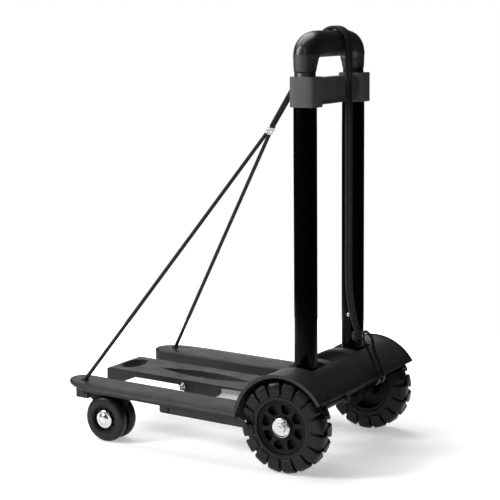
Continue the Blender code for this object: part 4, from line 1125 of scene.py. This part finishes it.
def centre_board():
    """The middle board: a turned-down nose, side skirts that deepen at the rear, and two dished slots."""
    nose, front = 0.009, -CENTRE_FRONT
    profile = [(BOARD_REAR, DECK_TOP), (front + nose, DECK_TOP)]
    profile += arc((front + nose, DECK_TOP - nose), nose, 90, 180, 18)[1:]
    profile += [(front, NOSE_Z), (front + SKIRT, NOSE_Z), (front + SKIRT, DECK_TOP - nose)]
    profile += arc((front + nose, DECK_TOP - nose), nose - SKIRT, 180, 90, 14)[1:]
    profile += [(front + 0.02, DECK_TOP - PLATE), (BOARD_REAR, DECK_TOP - PLATE)]
    board = solid("deck_middle", prism(profile, "X", (-CENTRE_X, CENTRE_X)))
    top = DECK_TOP - PLATE + 0.0008
    skirt = [
        (front + 0.003, NOSE_Z), (-0.344, NOSE_Z), (-0.337, 0.0618), (-0.315, 0.0712), (-0.236, 0.0712),
        (-0.231, SIDE_SKIRT_Z), (BOARD_REAR, SIDE_SKIRT_Z), (BOARD_REAR, top), (front + 0.006, top),
        (front + 0.003, 0.072),
    ]
    joins, cuts = [], []
    for _, side in SIDES:
        joins.append(crosswise(side, skirt, CENTRE_X - SKIRT, CENTRE_X - 0.0001))
        corner = (
            [(side * (CENTRE_X + 0.002), front - 0.002)]
            + arc((side * (CENTRE_X - 0.006), front + 0.006), (side * 0.0062, 0.0062), 270, 360, 16)
            + [(side * (CENTRE_X + 0.002), front + 0.006)]
        )
        cuts.append(prism(corner, "Z", (0.05, 0.09)))
    for ys, foot in (((-0.2345, -0.232), SIDE_SKIRT_Z), ((-0.314, -0.3115), 0.0705)):
        joins.append(box((-CENTRE_X + 0.001, CENTRE_X - 0.001), ys, (foot, top)))
    through, dish = (SLOT_Z - 0.01, DECK_TOP + 0.01), (DECK_TOP - 0.0011, DECK_TOP + 0.01)

    def hand_slot(rx, ry, zs):
        return prism(oval((0, -0.346), rx, ry, 64, 2.2), "Z", zs)

    def long_slot(start, length, half, zs):
        return prism([(x, start + y) for x, y in leaf_outline(length, half)], "Z", zs)

    joins += [
        hand_slot(0.025 + SLOT_WALL, 0.0145 + SLOT_WALL, (SLOT_Z, top)),
        long_slot(-0.294 - 2 * SLOT_WALL, 0.16 + 4 * SLOT_WALL, 0.014 + SLOT_WALL, (SLOT_Z, top)),
    ]
    cuts += [
        hand_slot(0.0268, 0.0163, dish),
        hand_slot(0.0245, 0.014, through),
        long_slot(-0.2965, 0.165, 0.016, dish),
        long_slot(-0.2935, 0.159, 0.0136, through),
        housing_cutter((-CENTRE_X - 0.01, CENTRE_X + 0.01)),
        rod("X", (PIN_Y, PIN_Z), PIN_R + 0.0002, (-CENTRE_X - 0.01, CENTRE_X + 0.01), 32),
    ]
    carve(board, joins, cuts)
    show(soften(climb(board), 0.0007, 3, 40), BOARD_PLASTIC, "platform", "board_plastic", "centre_board")


def cross_pin():
    collar, end = CENTRE_X + 0.0003, CENTRE_X + 0.0085
    profile = [(-end, PIN_R - 0.0008), (-end + 0.0004, PIN_R - 0.0002), (-end + 0.001, PIN_R)]
    profile += [(-collar - 0.0042, PIN_R), (-collar - 0.0042, 0.0044), (-collar - 0.0038, 0.0047)]
    profile += [(-collar - 0.0004, 0.0047), (-collar, 0.0044), (-collar, PIN_R)]
    profile += [(-x, r) for x, r in reversed(profile)]
    pin = solid("deck_pin", turned(1, profile, (PIN_Y, PIN_Z), 40))
    show(soften(pin, 0.0002, 2), STEEL, "platform", "steel", "cross_pin")


def deck_bracket(name, side):
    low = CENTRE_X + 0.0003
    leg = (low, low + 0.0015)
    outline = [
        (leg[0], 0.0655), (leg[0], 0.076), (leg[1], 0.076), (leg[1], 0.0698),
        (CENTRE_X + 0.014, 0.0662), (CENTRE_X + 0.014, 0.0646), (leg[1] + 0.001, 0.068), (leg[1], 0.0655),
    ]
    angle = solid(f"deck_angle_{name}", prism([(side * x, z) for x, z in outline], "Y", (-0.158, -0.08)))
    show(soften(angle, 0.0003, 2), ZINC, "platform", "zinc", f"deck_bracket_{name}")


def front_fork(name, side):
    """A cheek between the two discs, with a plate above and a short web over the tyres."""
    cheek = arc(FRONT_AXLE, 0.012, 180, 360, 28) + [
        (FRONT_Y + 0.016, 0.044), (FRONT_Y + 0.036, 0.064), (FRONT_Y + 0.036, 0.073),
        (FRONT_Y - 0.037, 0.073), (FRONT_Y - 0.037, 0.06), (FRONT_Y - 0.018, 0.044),
    ]
    fork = solid(f"fork_{name}", crosswise(side, cheek, *FORK_X))
    top = DECK_TOP - PLATE - 0.0003 + rise(FRONT_Y + 0.03)
    xs, ys = (0.1, 0.142), (FRONT_Y - 0.03, FRONT_Y + 0.03)
    plan = rounded([(xs[0], ys[0]), (xs[1], ys[0]), (xs[1], ys[1]), (xs[0], ys[1])], 0.006)
    plate = prism([(side * x, y) for x, y in plan], "Z", (top - 0.005, top - DROOP * 0.4))
    bore = rod("X", FRONT_AXLE, FRONT_AXLE_R + 0.0002, mirrored(side, (0.11, 0.135)))
    carve(fork, [plate], [bore])
    show(soften(fork, 0.0007, 3), PART_PLASTIC, "platform", "black_plastic", f"front_fork_{name}")


def front_axle_parts(name, side):
    ends = mirrored(side, (DISC_X["inner"][0] - 0.002, DISC_X["outer"][1] - 0.003))
    pin = solid(f"front_pin_{name}", rod("X", FRONT_AXLE, FRONT_AXLE_R, ends))
    show(soften(pin, 0.0005), STEEL, "platform", "steel", f"front_axle_{name}")
    profile = shifted(DISC_X["outer"][1] - 0.0027, (
        (0, 0.0112), (0.0003, 0.0128), (0.0008, 0.0134), (0.0014, 0.0132), (0.0019, 0.0122), (0.0021, 0.0105),
        (0.0022, 0.0088), (0.003, 0.0078), (0.0038, 0.0064), (0.0043, 0.0044), (0.0045, 0.0018),
    ))
    dome = solid(f"front_dome_{name}", turned(side, profile, FRONT_AXLE, 64))
    show(soften(dome, 0.0002, 2, 50), CHROME, "platform", "chrome", f"front_cap_{name}")


# ---- Front wheels ----


def front_disc(name, side, place_name):
    """One of a front wheel's two discs: a round tyre on a hub with slots."""
    low, high = DISC_X[place_name]
    mid, half = (low + high) / 2, (high - low) / 2
    node = f"{place_name}_{name}"
    body = f"front_wheel_{node}"
    profile = [(low + 0.0008, 0.0216), (low + 0.0005, 0.0225)]
    for k in range(25):
        a = pi * (k / 24) - pi / 2
        x = mid + (half - 0.0005) * squared(sin(a), 0.8)
        profile.append((x, 0.0255 + (FRONT_R - 0.0255) * abs(cos(a)) ** 0.62))
    profile += [(high - 0.0005, 0.0225), (high - 0.0008, 0.0216)]
    ring = solid(f"disc_tyre_{node}", turned_ring(side, profile, FRONT_AXLE, 96))
    show(soften(ring, 0.0003, 2, 40), FRONT_TYRE, body, "front_tyre_rubber", f"front_tyre_{node}")
    profile = [
        (low + 0.0005, FRONT_AXLE_R + 0.0003), (low + 0.0005, 0.008), (low + 0.0045, 0.01),
        (low + 0.0045, 0.018), (low + 0.001, 0.0195), (low + 0.001, 0.0213), (high - 0.001, 0.0213),
        (high - 0.001, 0.0198), (high - 0.0016, 0.0188), (high - 0.0045, 0.018), (high - 0.0045, 0.01),
        (high - 0.0035, 0.008), (high - 0.0035, FRONT_AXLE_R + 0.0003),
    ]
    hub = solid(f"disc_hub_{node}", turned_ring(side, profile, FRONT_AXLE, 96))
    corners = ((0.0142, -8), (0.0142, 8), (0.0172, 9), (0.0172, -9))
    ends = mirrored(side, (low + 0.002, high - 0.002))
    carve(hub, cuts=pockets(FRONT_AXLE, HUB_SLOTS, 9, corners, 0.0008, 3, ends))
    show(soften(hub, 0.0004, 2), RIM_PLASTIC, body, "rim_plastic", f"front_hub_{node}")


# ---- The cart ----

camera()
studio()
bungee()
tube_clamp()
axle_parts()
grip()
housing()
centre_board()
cross_pin()
for side_name, side_sign in SIDES:
    outer_tube(side_name, side_sign)
    tube_foot(side_name, side_sign)
    tyre(side_name, side_sign)
    rim(side_name, side_sign)
    handle_tubes(side_name, side_sign)
    snap_button(side_name, side_sign)
    side_board(side_name, side_sign)
    deck_bracket(side_name, side_sign)
    front_fork(side_name, side_sign)
    front_axle_parts(side_name, side_sign)
    for disc in DISC_X:
        front_disc(side_name, side_sign, disc)
    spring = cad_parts[f"snap_spring_{side_name}"]
    spring.data.materials.clear()
    spring.data.materials.append(STEEL)
